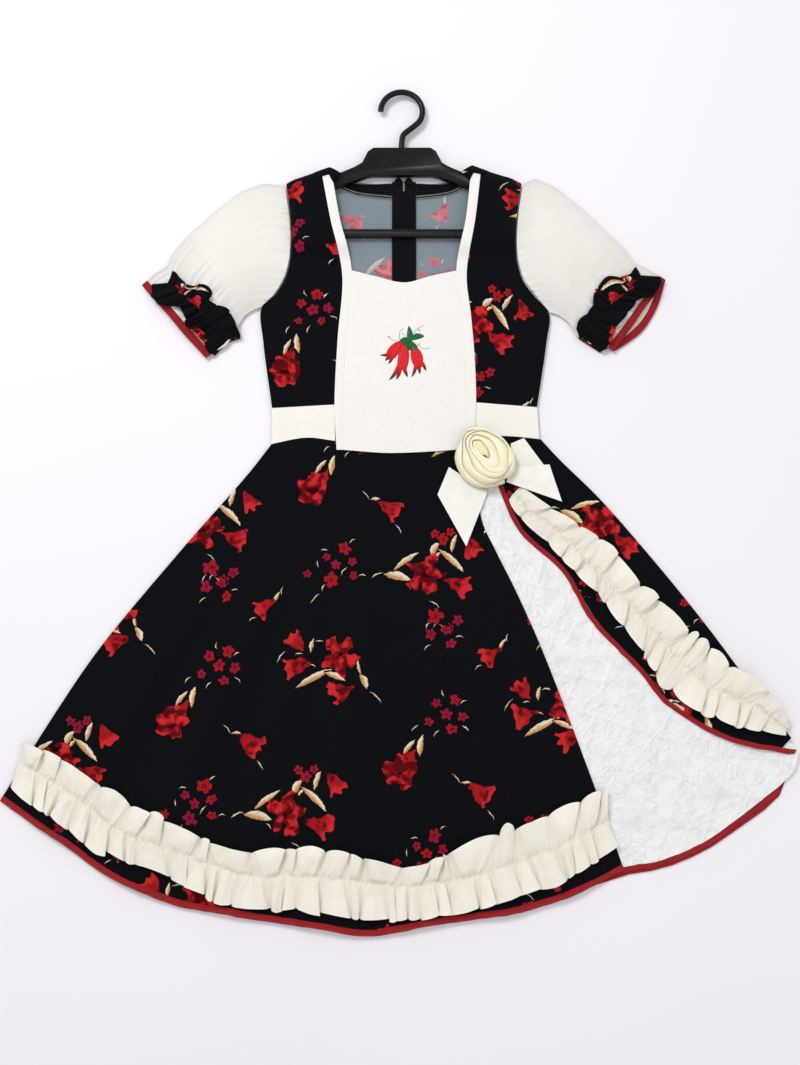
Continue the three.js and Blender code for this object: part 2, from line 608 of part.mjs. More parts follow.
function rose() {
  const face = (top) => (u, v) => {
    const a = 2 * Math.PI * u;
    const petals = 1 + 0.045 * Math.cos(5 * a + 0.6) + 0.03 * Math.cos(3 * a);
    const r = lerp(ROSE.heart, ROSE.radius * petals, v);
    const coil = (ROSE.turns * v + u) % 1;
    const crown = ROSE.rim + ROSE.crown * Math.sqrt(1 - (0.94 * v) ** 2.4);
    const turned = ROSE.lip * coil * lerp(0.4, 1, v);
    const height = top ? ROSE.low + crown + turned : ROSE.low;
    return [ROSE.x + r * Math.cos(a), ROSE.y + r * Math.sin(a), height];
  };
  add('rose', wall({ across: 26, down: 7, ring: true, outer: face(true), inner: face(false) }), ROSE_CREAM);
}

// Pointed ends of ribbon under the rose, each a strip that narrows to its tip with a low fold along it. They
// lie over the skirt and over the edge of the waistband
function ribbonEnd(name, { upper, lower, fold }) {
  const plan = between(curve(upper), curve(lower));
  const face = (lift) => (u, v) => {
    const [x, y] = plan(u, v);
    const ridge = fold * Math.sin(Math.PI * v) * smooth((u - 0.35) / 0.3) * smooth((1 - u) / 0.2);
    return [x, y, Math.max(skirtLow(x, y) + CLOTH, FRONT + TRIM_WALL) + SEAM + ridge + lift];
  };
  add(name, wall({ across: 7, down: 3, outer: face(RIBBON_WALL), inner: face(0) }), ROSE_CREAM);
}

skirtBack();
underskirt();
skirt();
ruffles();
for (const [side, sign] of [['left', -1], ['right', 1]]) {
  bodiceBack(side, sign);
  bodiceFront(side, sign);
  sleeve(side, sign);
}
bib();
zipPlacket();
hanger();
rose();
ribbonEnd('rose_tail', {
  upper: [[104, 60], [100, 12], [82, -16]], lower: [[66, 74], [46, 48], [79, -14]], fold: 1.6,
});
ribbonEnd('rose_leaf_upper', {
  upper: [[132, 99], [150, 115], [164, 104]], lower: [[135, 81], [158, 83.5], [175, 84]], fold: 1.4,
});
ribbonEnd('rose_leaf_lower', {
  upper: [[135, 78.5], [181, 79.5], [196, 42]], lower: [[130, 62], [158, 50], [192, 39]], fold: 1.8,
});

// The origin is the middle of the dress on the surface that it lies on
const box = new THREE.Box3().setFromObject(dress);
const centre = box.getCenter(new THREE.Vector3());
dress.position.set(-centre.x, -centre.y, -box.min.z);

export default dress;
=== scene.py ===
# %% [markdown]
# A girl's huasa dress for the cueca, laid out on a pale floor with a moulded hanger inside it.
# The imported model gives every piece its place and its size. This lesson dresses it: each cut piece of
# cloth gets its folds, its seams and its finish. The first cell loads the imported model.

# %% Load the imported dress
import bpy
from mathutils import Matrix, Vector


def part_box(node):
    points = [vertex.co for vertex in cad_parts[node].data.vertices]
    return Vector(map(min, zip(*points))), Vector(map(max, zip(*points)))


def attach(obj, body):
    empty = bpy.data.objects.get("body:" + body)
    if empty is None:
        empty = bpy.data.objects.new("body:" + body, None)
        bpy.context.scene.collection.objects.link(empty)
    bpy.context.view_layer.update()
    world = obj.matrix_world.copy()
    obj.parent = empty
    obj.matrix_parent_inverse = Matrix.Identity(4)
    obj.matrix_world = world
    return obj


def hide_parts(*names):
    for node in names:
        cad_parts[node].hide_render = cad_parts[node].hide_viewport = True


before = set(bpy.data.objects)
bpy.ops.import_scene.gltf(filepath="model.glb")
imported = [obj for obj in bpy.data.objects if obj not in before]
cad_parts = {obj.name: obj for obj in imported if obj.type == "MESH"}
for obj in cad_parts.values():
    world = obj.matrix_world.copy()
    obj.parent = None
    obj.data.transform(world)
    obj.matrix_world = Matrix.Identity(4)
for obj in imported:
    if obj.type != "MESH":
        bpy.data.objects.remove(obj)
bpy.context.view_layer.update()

import math

import bpy
import numpy as np
from mathutils import Vector

MM = 0.001

# %% [markdown]
# A garment is drawn flat before it is sewn, so this lesson draws every piece in one plan, in millimetres,
# with x across the dress and y up towards the hook. The zip's placket is a plain rectangle in that plan, so
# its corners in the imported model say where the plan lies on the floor.

# %% The plan and where it lies
PLACKET = {"left": -10, "right": 20, "top": 448, "bottom": 300}
placket_low, placket_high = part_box("zip_placket")
PLAN_X = placket_low.x / MM - PLACKET["left"]
PLAN_Y = placket_high.y / MM - PLACKET["top"]
CLOTH = 1.4  # wall of the printed cotton
SEAM = 0.3  # gap between neighbours
BINDING = 9  # width of the red bias binding
ON_BACK = CLOTH + SEAM
FRONT = 3.2  # underside of the front panels
print("plan lies at", round(PLAN_X, 2), round(PLAN_Y, 2))

# %% [markdown]
# Cut edges are smooth curves through a few marks, as a pattern cutter draws them with a French curve. Each
# curve is walked by its own length, so that folds and stitches can be spaced evenly along it.

# %% Curves and patches of the plan
def lerp(a, b, t):
    return a + (b - a) * t


def smooth(t):
    t = np.clip(t, 0, 1)
    return t * t * (3 - 2 * t)


def turned(ahead):
    """Directions turned a quarter to the left."""
    return np.stack([-ahead[..., 1], ahead[..., 0]], -1)


class Edge:
    """A smooth edge through marks of the plan, walked from 0 to 1 by its length."""

    def __init__(self, marks):
        marks = np.array(marks, float)
        first = 2 * marks[0] - marks[1]
        last = 2 * marks[-1] - marks[-2]
        marks = np.vstack([first, marks, last])
        line = []
        t = np.linspace(0, 1, 24, endpoint=False)[:, None]
        for a, b, c, d in zip(marks, marks[1:], marks[2:], marks[3:]):
            steps = [max(math.dist(p, q) ** 0.5, 1e-3) for p, q in ((a, b), (b, c), (c, d))]
            leave = ((b - a) / steps[0] - (c - a) / (steps[0] + steps[1]) + (c - b) / steps[1]) * steps[1]
            arrive = ((c - b) / steps[1] - (d - b) / (steps[1] + steps[2]) + (d - c) / steps[2]) * steps[1]
            line.append(b + leave * t + (3 * (c - b) - 2 * leave - arrive) * t**2
                        + (2 * (b - c) + leave + arrive) * t**3)
        self.line = np.vstack([*line, marks[-2:-1]])
        run = np.concatenate([[0], np.cumsum(np.hypot(*np.diff(self.line, axis=0).T))])
        self.length = run[-1]
        self.run = run / run[-1]

    def at(self, t):
        t = np.clip(t, 0, 1)
        return np.stack([np.interp(t, self.run, self.line[:, k]) for k in (0, 1)], -1)

    def heading(self, t):
        ahead = self.at(np.clip(np.asarray(t) + 0.004, 0, 1)) - self.at(np.clip(np.asarray(t) - 0.004, 0, 1))
        return ahead / np.linalg.norm(ahead, axis=-1, keepdims=True)

    def beside(self, distance, steps=40):
        t = np.linspace(0, 1, steps + 1)
        return Edge(self.at(t) + distance * turned(self.heading(t)))

    def part(self, start, end, steps=24):
        return Edge(self.at(np.linspace(start, end, steps + 1)))


def between(first, second):
    """The patch from one edge (v = 0) to another (v = 1)."""
    return lambda u, v: lerp(first.at(u), second.at(u), v[:, None])


def straight(*marks, steps=12):
    """A straight edge, or straight stretches, through marks of the plan."""
    return Edge([lerp(np.array(a, float), np.array(b, float), t) for a, b in zip(marks, marks[1:])
                 for t in np.linspace(0, 1, steps, endpoint=False)] + [marks[-1]])


def four_sided(top, right, bottom, left):
    """The patch between four edges: u runs from left to right, v from top to bottom."""
    def patch(u, v):
        u, v = u[:, None], v[:, None]
        ruled = lerp(top.at(u[:, 0]), bottom.at(u[:, 0]), v) + lerp(left.at(v[:, 0]), right.at(v[:, 0]), u)
        corners = lerp(lerp(top.at(0.0), top.at(1.0), u), lerp(bottom.at(0.0), bottom.at(1.0), u), v)
        return ruled - corners
    return patch


def ripple(x, y, size, seed):
    """A soft uneven surface between about -1 and 1, from a few waves that cross."""
    chance = np.random.default_rng(seed)
    total = 0
    for _ in range(8):
        turn = chance.uniform(0, math.pi)
        length = size * chance.uniform(0.7, 1.7)
        along = (x * math.cos(turn) + y * math.sin(turn)) * 2 * math.pi / length
        total = total + np.sin(along + chance.uniform(0, 6.3))
    return total / 4


# %% [markdown]
# The skirt is a fan of flared panels. Lying down, its spare width stands in long soft folds that run out
# from the waist. One height function holds them all, and every layer of the skirt follows it, so the
# layers never pass through each other. The bodice has its own: it rises over the hanger and falls away
# round it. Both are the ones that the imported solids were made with.

# %% Heights of the skirt and the bodice
FAN = {"x": -4, "y": 310, "left": -37.5, "right": 41}
FOLDS = [  # degrees from straight down, height, spread in degrees, start radius
    (-31, 3.0, 2.6, 330), (-22.5, 4.6, 2.8, 270), (-14, 3.4, 2.5, 340), (-6, 5.2, 3.0, 260),
    (2, 3.8, 2.6, 320), (9, 4.4, 2.6, 290), (15.5, 3.2, 2.4, 350), (36, 3.0, 2.6, 260),
]
FOLD_GROWTH = 230
HANGER_CENTRE = 2.5
BODICE_RISE = 9.7


def on_fan(x, y):
    """Degrees from straight down and millimetres from the point where the skirt's fan would meet."""
    return np.degrees(np.arctan2(x - FAN["x"], FAN["y"] - y)), np.hypot(x - FAN["x"], y - FAN["y"])


def skirt_low(x, y):
    angle, radius = on_fan(x, y)
    settle = smooth((angle - FAN["left"]) / 4) * smooth((FAN["right"] + 1.5 - angle) / 4)
    height = lerp(ON_BACK, FRONT, settle)
    for at, high, spread, start in FOLDS:
        height = height + high * np.exp(-(((angle - at) / spread) ** 2)) * smooth((radius - start) / FOLD_GROWTH)
    return height


def bodice_low(x, y):
    aside = np.abs(x - HANGER_CENTRE)
    arm_top = lerp(474, 441, np.clip((aside - 40) / 90, 0, 1))
    outside = np.hypot(np.maximum(0, aside - 130), np.maximum(0, np.maximum(y - arm_top, 366 - y)))
    return FRONT + BODICE_RISE * (1 - smooth(outside / 24))


# %% [markdown]
# Every piece of cloth starts as a grid primitive. Its points are moved onto the plan and up to their
# height, and a Solidify modifier then gives the sheet its wall, downwards from the face that shows. The
# grid also gets a UV map named cloth, in metres of fabric, because a weave or a print is made before the
# cloth is cut and folded, and so it must follow the piece and not the room.

# %% How a piece of cloth is laid
def select_only(piece):
    bpy.ops.object.select_all(action="DESELECT")
    piece.select_set(True)
    bpy.context.view_layer.objects.active = piece


def apply_modifier(piece, kind, **settings):
    select_only(piece)
    modifier = piece.modifiers.new(kind.title(), kind)
    for name, value in settings.items():
        setattr(modifier, name, value)
    bpy.ops.object.modifier_apply(modifier=modifier.name)


def edit(piece, *steps):
    """Runs edit-mode operators on the whole mesh, each given with its settings."""
    select_only(piece)
    bpy.ops.object.mode_set(mode="EDIT")
    bpy.ops.mesh.select_all(action="SELECT")
    for operator, settings in steps:
        operator(**settings)
    bpy.ops.object.mode_set(mode="OBJECT")


def in_frame(points):
    """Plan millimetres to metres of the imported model."""
    return (np.asarray(points, float) + (PLAN_X, PLAN_Y, 0)) * MM


def primitive(name, add, **settings):
    """Adds a primitive under a name of its own."""
    bpy.ops.object.select_all(action="DESELECT")
    add(**settings)
    piece = bpy.context.object
    piece.name = piece.data.name = name
    return piece


def grid(name, across, down, shape, cloth=None, ring=False):
    """A grid whose points shape(u, v) puts on the plan. A ring's two long ends are merged."""
    piece = primitive(name, bpy.ops.mesh.primitive_grid_add, x_subdivisions=across, y_subdivisions=down, size=2)
    mesh = piece.data
    spots = np.empty(len(mesh.vertices) * 3)
    mesh.vertices.foreach_get("co", spots)
    spots = spots.reshape(-1, 3)
    u = (spots[:, 0] + 1) / 2
    v = (1 - spots[:, 1]) / 2
    points = np.asarray(shape(u, v))
    mesh.vertices.foreach_set("co", in_frame(points).ravel())
    fabric = points[:, :2] * MM if cloth is None else np.asarray(cloth(u, v)) * MM
    corners = np.empty(len(mesh.loops), int)
    mesh.loops.foreach_get("vertex_index", corners)
    mesh.uv_layers[0].name = "cloth"
    mesh.uv_layers["cloth"].uv.foreach_set("vector", fabric[corners].ravel())
    mesh.update()
    if ring:
        edit(piece, (bpy.ops.mesh.remove_doubles, {"threshold": 0.02 * MM}),
             (bpy.ops.mesh.normals_make_consistent, {"inside": False}))
    elif sum(face.normal.z * face.area for face in mesh.polygons) < 0:
        mesh.flip_normals()
    return piece


def dress(piece, finish, stands_for=(), wall=None):
    """Gives a piece its wall, its finish and its place on the dress."""
    if wall:
        apply_modifier(piece, "SOLIDIFY", thickness=wall * MM, offset=-1, use_even_offset=False)
    select_only(piece)
    bpy.ops.object.shade_smooth_by_angle(angle=math.radians(50))
    piece.data.materials.clear()
    piece.data.materials.append(finish)
    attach(piece, "root")
    if stands_for:
        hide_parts(*stands_for)
    print(f"{piece.name}: {len(piece.data.polygons)} faces")
    return piece


def cut_cloth(piece, size=None):
    """Works out the width and length of the cloth a piece is cut from, given in metres or taken from its own bounds;
    they are not used further.
    """
    corners = np.array(piece.bound_box)
    width, length, _ = corners.max(axis=0) - corners.min(axis=0)
    width, length = size or (float(width), float(length))


# %% [markdown]
# A material is a small tree of nodes. The next helper only shortens how such a tree is written down. A
# value that is the same all over a surface stays on the shader's own socket, and only what changes over the
# surface is linked.

# %% A short way to write node trees
class Weaver:
    """Adds nodes to one tree and links whatever sockets it is given."""

    def __init__(self, tree):
        self.tree = tree

    def plug(self, node, sockets):
        for key, value in sockets.items():
            if isinstance(value, bpy.types.NodeSocket):
                self.tree.links.new(value, node.inputs[key])
            else:
                node.inputs[key].default_value = value
        return node

    def add(self, kind, sockets=None, **settings):
        made = self.tree.nodes.new("ShaderNode" + kind)
        for name, value in settings.items():
            setattr(made, name, value)
        return self.plug(made, sockets or {})

    def math(self, operation, *values):
        return self.add("Math", dict(enumerate(values)), operation=operation).outputs[0]

    def vector(self, operation, *values):
        made = self.add("VectorMath", dict(enumerate(values)), operation=operation)
        return made.outputs["Value" if operation in ("LENGTH", "DOT_PRODUCT") else "Vector"]

    def scaled(self, vector, factor):
        return self.add("VectorMath", {0: vector, 3: factor}, operation="SCALE").outputs["Vector"]

    def colour(self, share, first, second):
        return self.add("Mix", {0: share, 6: first, 7: second}, data_type="RGBA").outputs[2]

    def either(self, share, first, second):
        return self.add("Mix", {0: share, 4: first, 5: second}, data_type="VECTOR").outputs[1]

    def noise(self, vector, scale, detail=2.0, roughness=0.5):
        return self.add("TexNoise", {"Vector": vector, "Scale": scale, "Detail": detail,
                                     "Roughness": roughness}).outputs["Fac"]

    def ramp(self, value, low, high, to_low=0.0, to_high=1.0):
        return self.add("MapRange", {"Value": value, "From Min": low, "From Max": high,
                                     "To Min": to_low, "To Max": to_high}).outputs["Result"]

    def bump(self, height, strength):
        return self.add("Bump", {"Height": height, "Distance": 1.0, "Strength": strength}).outputs["Normal"]


def new_finish(name):
    """A material, its one shader, and the weaver of its tree."""
    finish = bpy.data.materials.new(name)
    finish.use_nodes = True
    return finish, finish.node_tree.nodes["Principled BSDF"], Weaver(finish.node_tree)


def srgb(red, green, blue):
    """A colour given from 0 to 255 a channel, as the shader wants it."""
    def linear(c):
        c /= 255
        return c / 12.92 if c <= 0.04045 else ((c + 0.055) / 1.055) ** 2.4
    return (linear(red), linear(green), linear(blue), 1.0)


# %% [markdown]
# The weave is one group for all the cloth. Warp and weft pass over and under each other, so the height of a
# plain weave is one sine wave across times one sine wave along. A fine noise makes single threads lighter
# or darker, and a wider one makes the soft rumples of washed cotton.

# %% The weave, for all the cloth
def group_ends(tree):
    start = tree.nodes.new("NodeGroupInput")
    end = tree.nodes.new("NodeGroupOutput")
    return start.outputs, end.inputs


def weave_group():
    tree = bpy.data.node_groups.new("Plain weave", "ShaderNodeTree")
    for name, kind in (("Place", "Vector"), ("Thread", "Float"), ("Rumple", "Float"), ("Depth", "Float")):
        tree.interface.new_socket(name, in_out="INPUT", socket_type="NodeSocket" + kind)
    for name in ("Height", "Fleck"):
        tree.interface.new_socket(name, in_out="OUTPUT", socket_type="NodeSocketFloat")
    start, end = group_ends(tree)
    w = Weaver(tree)
    per_thread = w.math("DIVIDE", math.pi, start["Thread"])
    waves = w.vector("SINE", w.scaled(start["Place"], per_thread))
    split = w.add("SeparateXYZ", {0: waves}).outputs
    weave = w.math("MULTIPLY", split[0], split[1])
    fleck = w.noise(w.scaled(start["Place"], w.math("DIVIDE", 0.6, start["Thread"])), 1.0, 1.0)
    rumple = w.noise(w.scaled(start["Place"], w.math("DIVIDE", 1.0, start["Rumple"])), 1.0, 4.0, 0.55)
    height = w.math("MULTIPLY_ADD", rumple, start["Depth"], w.math("MULTIPLY", weave, start["Thread"]))
    tree.links.new(height, end["Height"])
    tree.links.new(fleck, end["Fleck"])
    return tree


WEAVE = weave_group()


def cloth_place(w, on_surface=True):
    """The place on a piece: its own fabric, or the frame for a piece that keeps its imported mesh."""
    if on_surface:
        return w.add("UVMap", uv_map="cloth").outputs["UV"]
    return w.add("TexCoord").outputs["Object"]


def woven(w, place, thread, rumple, depth):
    """The weave on a place, with the width of a thread, the size of its rumples and their depth in metres."""
    return w.add("Group", {"Place": place, "Thread": thread, "Rumple": rumple, "Depth": depth}, node_tree=WEAVE)


def cloth_finish(name, paint, thread=0.0006, rumple=0.03, depth=0.0012, rough=0.85, sheen=0.02, shine=0.03,
                 on_surface=True, contrast=0.25):
    """A woven finish. paint(weaver, place) gives its colour. Cotton hardly shines, so a dark dye stays dark."""
    finish, shader, w = new_finish(name)
    place = cloth_place(w, on_surface)
    weave = woven(w, place, thread, rumple, depth)
    shade = w.ramp(weave.outputs["Fleck"], 0.3, 0.7, 1 - contrast, 1 + contrast)
    w.plug(shader, {"Base Color": w.scaled(paint(w, place), shade),
                    "Roughness": w.ramp(weave.outputs["Fleck"], 0.3, 0.7, rough - 0.06, rough + 0.06),
                    "Normal": w.bump(weave.outputs["Height"], 0.6),
                    "Sheen Weight": sheen, "Specular IOR Level": shine})
    return finish


def plain(first, second, size):
    """Cloth of one dye: two close shades in soft clouds of that size in metres."""
    def paint(w, place):
        return w.colour(w.noise(place, 1 / size, 3.0), first, second)
    return paint


CREAM = cloth_finish("cream cotton", plain(srgb(246, 243, 238), srgb(239, 235, 228), 0.05), contrast=0.03)
BIB_WHITE = cloth_finish("bib cotton", plain(srgb(254, 251, 247), srgb(249, 245, 240), 0.06), contrast=0.03)
BAND_WHITE = cloth_finish("waistband cotton", plain(srgb(255, 252, 245), srgb(252, 247, 238), 0.06), contrast=0.03)
RUFFLE_CREAM = cloth_finish("ruffle cotton", plain(srgb(255, 251, 240), srgb(250, 244, 229), 0.03),
                            rumple=0.008, depth=0.0005, contrast=0.03)
BLACK_COTTON = cloth_finish("black facing", plain(srgb(10, 12, 15), srgb(19, 21, 25), 0.02), contrast=0.3)
RED_DYE = plain(srgb(172, 22, 30), srgb(138, 14, 22), 0.012)
RED_BIAS = cloth_finish("red bias", RED_DYE, rough=0.5, thread=0.0004, rumple=0.006, depth=0.0004, sheen=0.05,
                        shine=0.25, contrast=0.12)
print("weave group:", len(WEAVE.nodes), "nodes")

# %% [markdown]
# The print repeats on a slanted lattice, as a rotary screen prints it: every motif comes back one step down
# and to the left, and one step across. So each cluster of flowers is drawn once. The place on the cloth is
# turned into steps of the lattice, wrapped into the cell round the cluster, and turned back into
# millimetres. Within a cluster each flower or leaf has its own small circle, and the place in that circle
# is handed to one drawing for all flowers of the kind. That keeps a busy print to a few hundred light nodes.

# %% The marks of the flower print
REPEAT = ((-160, -278), (266, -56))
TO_STEPS = np.linalg.inv(np.array(REPEAT, float).T)  # from millimetres to steps of the lattice
# Clusters: centre, then their motifs with x, y, radius (or half length and half width) and turn in degrees
PRINT = [
    {"centre": (30, -51),
     "lily": [(0, 0, 26, 76)],
     "trumpet": [(39, -13, 18, -17), (55, 32, 15, -62)],
     "leaf": [(34, 37, 12, 4.6, 74), (11, 30, 9.5, 6.5, 62), (31, 17, 21, 6, -42), (-33, -3, 17, 8, -12),
              (-23, 16, 19, 5, 36), (15, 23, 5, 3, 50)],
     "sprig": [(-57, -1, 9, 2.4, 22), (-20, -14, 5, 2, -52), (11, -36, 8, 1.8, -36), (3, -61, 6, 1.8, 60),
               (21, -65, 8, 1.8, -55)],
     "small": [(11, -50, 11, 0), (28, -63, 6.5, 20), (38, -55, 7, 50), (21, 42, 8, 10), (12, 49, 6, 30),
               (31, 50, 6, 60)]},
    {"centre": (-72, -150),
     "lily": [(2, 1, 25, 57)],
     "trumpet": [(-51, 19, 14, 130), (-50, -11, 18, 195), (2, -39, 17, 200)],
     "leaf": [(-29, -24, 25, 6, 28), (-4, -22, 14, 5, -22), (30, -28, 10, 6, -62), (24, -12, 9, 2.8, 102),
              (-32, 14, 9, 3.6, 80)],
     "sprig": [(44, -46, 11, 2, -42), (-68, 1, 10, 2, 55), (-47, 4, 5, 2, 5), (-31, -9, 5, 2, -20),
               (-23, 19, 6, 1.8, 2)]},
    {"centre": (-80, -40),
     "small": [(14, 20, 9, 0), (-7, 9, 6, 40), (4, 0, 7, 20), (23, 4, 7, 60), (-30, -11, 6, 10), (-2, -17, 10, 30),
               (24, -13, 6, 50)],
     "sprig": [(23, 29, 5, 1.8, 32), (-10, 18, 5, 1.8, 4), (13, -7, 7, 1.8, 52), (35, -13, 5, 2, 8),
               (-21, -40, 9, 1.8, 48), (-11, -27, 5, 2, 70), (-18, 1, 5, 1.6, 96)]},
    {"centre": (-212, -158),
     "small": [(10, 15, 8, 0), (-12, 10, 7, 40), (0, -2, 8, 20), (19, -5, 7, 60), (-21, -11, 6, 10), (6, -19, 7, 30)],
     "sprig": [(20, 12, 5, 1.8, 30), (-4, 22, 5, 1.8, 100), (22, -18, 6, 1.8, -40), (-12, -24, 6, 1.8, 50)]},
    {"centre": (-220, -70),
     "small": [(-10, 4, 8, 0), (8, 9, 7, 40), (14, -8, 7, 20)],
     "sprig": [(-4, 16, 6, 1.8, 60), (24, 0, 5, 1.8, 0), (-14, -12, 6, 1.8, 40)]},
    {"centre": (-106, 52),
     "rosette": [(0, 0, 21, 12)],
     "trumpet": [(10, 13, 15, -128)],
     "leaf": [(10, 28, 12, 4, 52), (24, 30, 13, 5.5, 82)],
     "sprig": [(17, 50, 6, 2, 45)]},
    {"centre": (-12, 28),
     "trumpet": [(0, 0, 17, -32)],
     "leaf": [(-18, 12, 6, 2.6, 4)],
     "sprig": [(-29, 17, 8, 1.8, -48), (10, -24, 8, 1.8, -55)]},
    {"centre": (-160, -91),
     "trumpet": [(0, 0, 15, 214)],
     "leaf": [(14, 12, 8, 3, 60)],
     "sprig": [(20, 20, 6, 1.8, 80), (-14, -14, 6, 1.8, 30)]},
]
print("motifs in one repeat:",
      sum(len(marks) for cluster in PRINT for key, marks in cluster.items() if key != "centre"))

# %% [markdown]
# Now the drawings. A lily is a circle whose edge swings out and in five times. A rosette swings less, and a
# small flower has narrow notches between its petals. A trumpet flower is seen from the side: narrow at its
# stalk, wide and wavy at its mouth. A leaf is a bowed strip that closes at both ends, tan on one side and
# cream on the other. The red of the big flowers gets darker creases along the petals and a dark heart.

# %% The flower print
def lattice_steps(w, place):
    """The place in steps along the two repeats."""
    along = [w.vector("DOT_PRODUCT", place, (*row, 0)) for row in TO_STEPS]
    return w.add("CombineXYZ", dict(enumerate(along))).outputs[0]


def round_cluster(w, steps, centre):
    """Millimetres from the nearest copy of a cluster's centre."""
    home = TO_STEPS @ centre
    near = w.vector("WRAP", w.vector("SUBTRACT", steps, (*home, 0)), (0.5, 0.5, 0.5), (-0.5, -0.5, -0.5))
    (ax, ay), (bx, by) = REPEAT
    return w.add("CombineXYZ", {0: w.vector("DOT_PRODUCT", near, (ax, bx, 0)),
                                1: w.vector("DOT_PRODUCT", near, (ay, by, 0))}).outputs[0]


def nearest_mark(w, rounds, kind):
    """The place inside whichever mark of a kind lies here, from -1 to 1, or far outside all of them."""
    found = (9.0, 9.0, 0.0)
    for cluster, base in zip(PRINT, rounds):
        local = base
        for x, y, *sizes, turn in cluster.get(kind, ()):
            spread = (sizes[0], sizes[-1], 1)
            if not isinstance(found, tuple):  # a hair of the last answer makes Cycles take the marks in turn
                local = w.vector("MULTIPLY_ADD", found, (1e-7, 1e-7, 0), base)
            inside = w.add("Mapping", {"Vector": local, "Location": (x, y, 0), "Scale": spread,
                                       "Rotation": (0, 0, math.radians(turn))}, vector_type="TEXTURE").outputs[0]
            close = w.math("LESS_THAN", w.vector("LENGTH", inside), 1.0)
            found = w.either(close, found, inside)
    return found


def petals(w, local, count, heart, reach, sharp, warp):
    """How far inside a round flower, and how far round a petal. warp bends it, so that no two are alike."""
    local = w.vector("ADD", local, warp)
    x, y, _ = w.add("SeparateXYZ", {0: local}).outputs
    turn = w.math("MULTIPLY", w.math("ARCTAN2", y, x), count / 2)
    swing = w.math("ABSOLUTE", w.math("SINE", turn))
    swell = w.math("SUBTRACT", 1.0, w.math("MULTIPLY", swing, swing))
    rim = w.math("MULTIPLY_ADD", w.math("POWER", swell, sharp), reach, heart)
    radius = w.vector("LENGTH", local)
    return w.math("SUBTRACT", rim, radius), swing, radius


def trumpet(w, local, warp):
    x, y, _ = w.add("SeparateXYZ", {0: w.vector("ADD", local, warp)}).outputs
    grown = w.math("POWER", w.math("MULTIPLY_ADD", x, 0.5, 0.5), 1.05)
    side = w.math("SUBTRACT", w.math("MULTIPLY_ADD", grown, 0.95, 0.1), w.math("ABSOLUTE", y))
    lip = w.math("MULTIPLY_ADD", w.math("COSINE", w.math("MULTIPLY", y, 7.5)), 0.12, 0.7)
    return w.math("MINIMUM", side, w.math("SUBTRACT", lip, x)), y, x


def bowed_leaf(w, local, bow, full=0.66):
    x, y, _ = w.add("SeparateXYZ", {0: local}).outputs
    square = w.math("MULTIPLY", x, x)
    off = w.math("MULTIPLY_ADD", square, bow, w.math("SUBTRACT", y, bow * 0.4))
    half = w.math("MULTIPLY_ADD", square, -full, full)
    return w.math("SUBTRACT", half, w.math("ABSOLUTE", off)), off, x


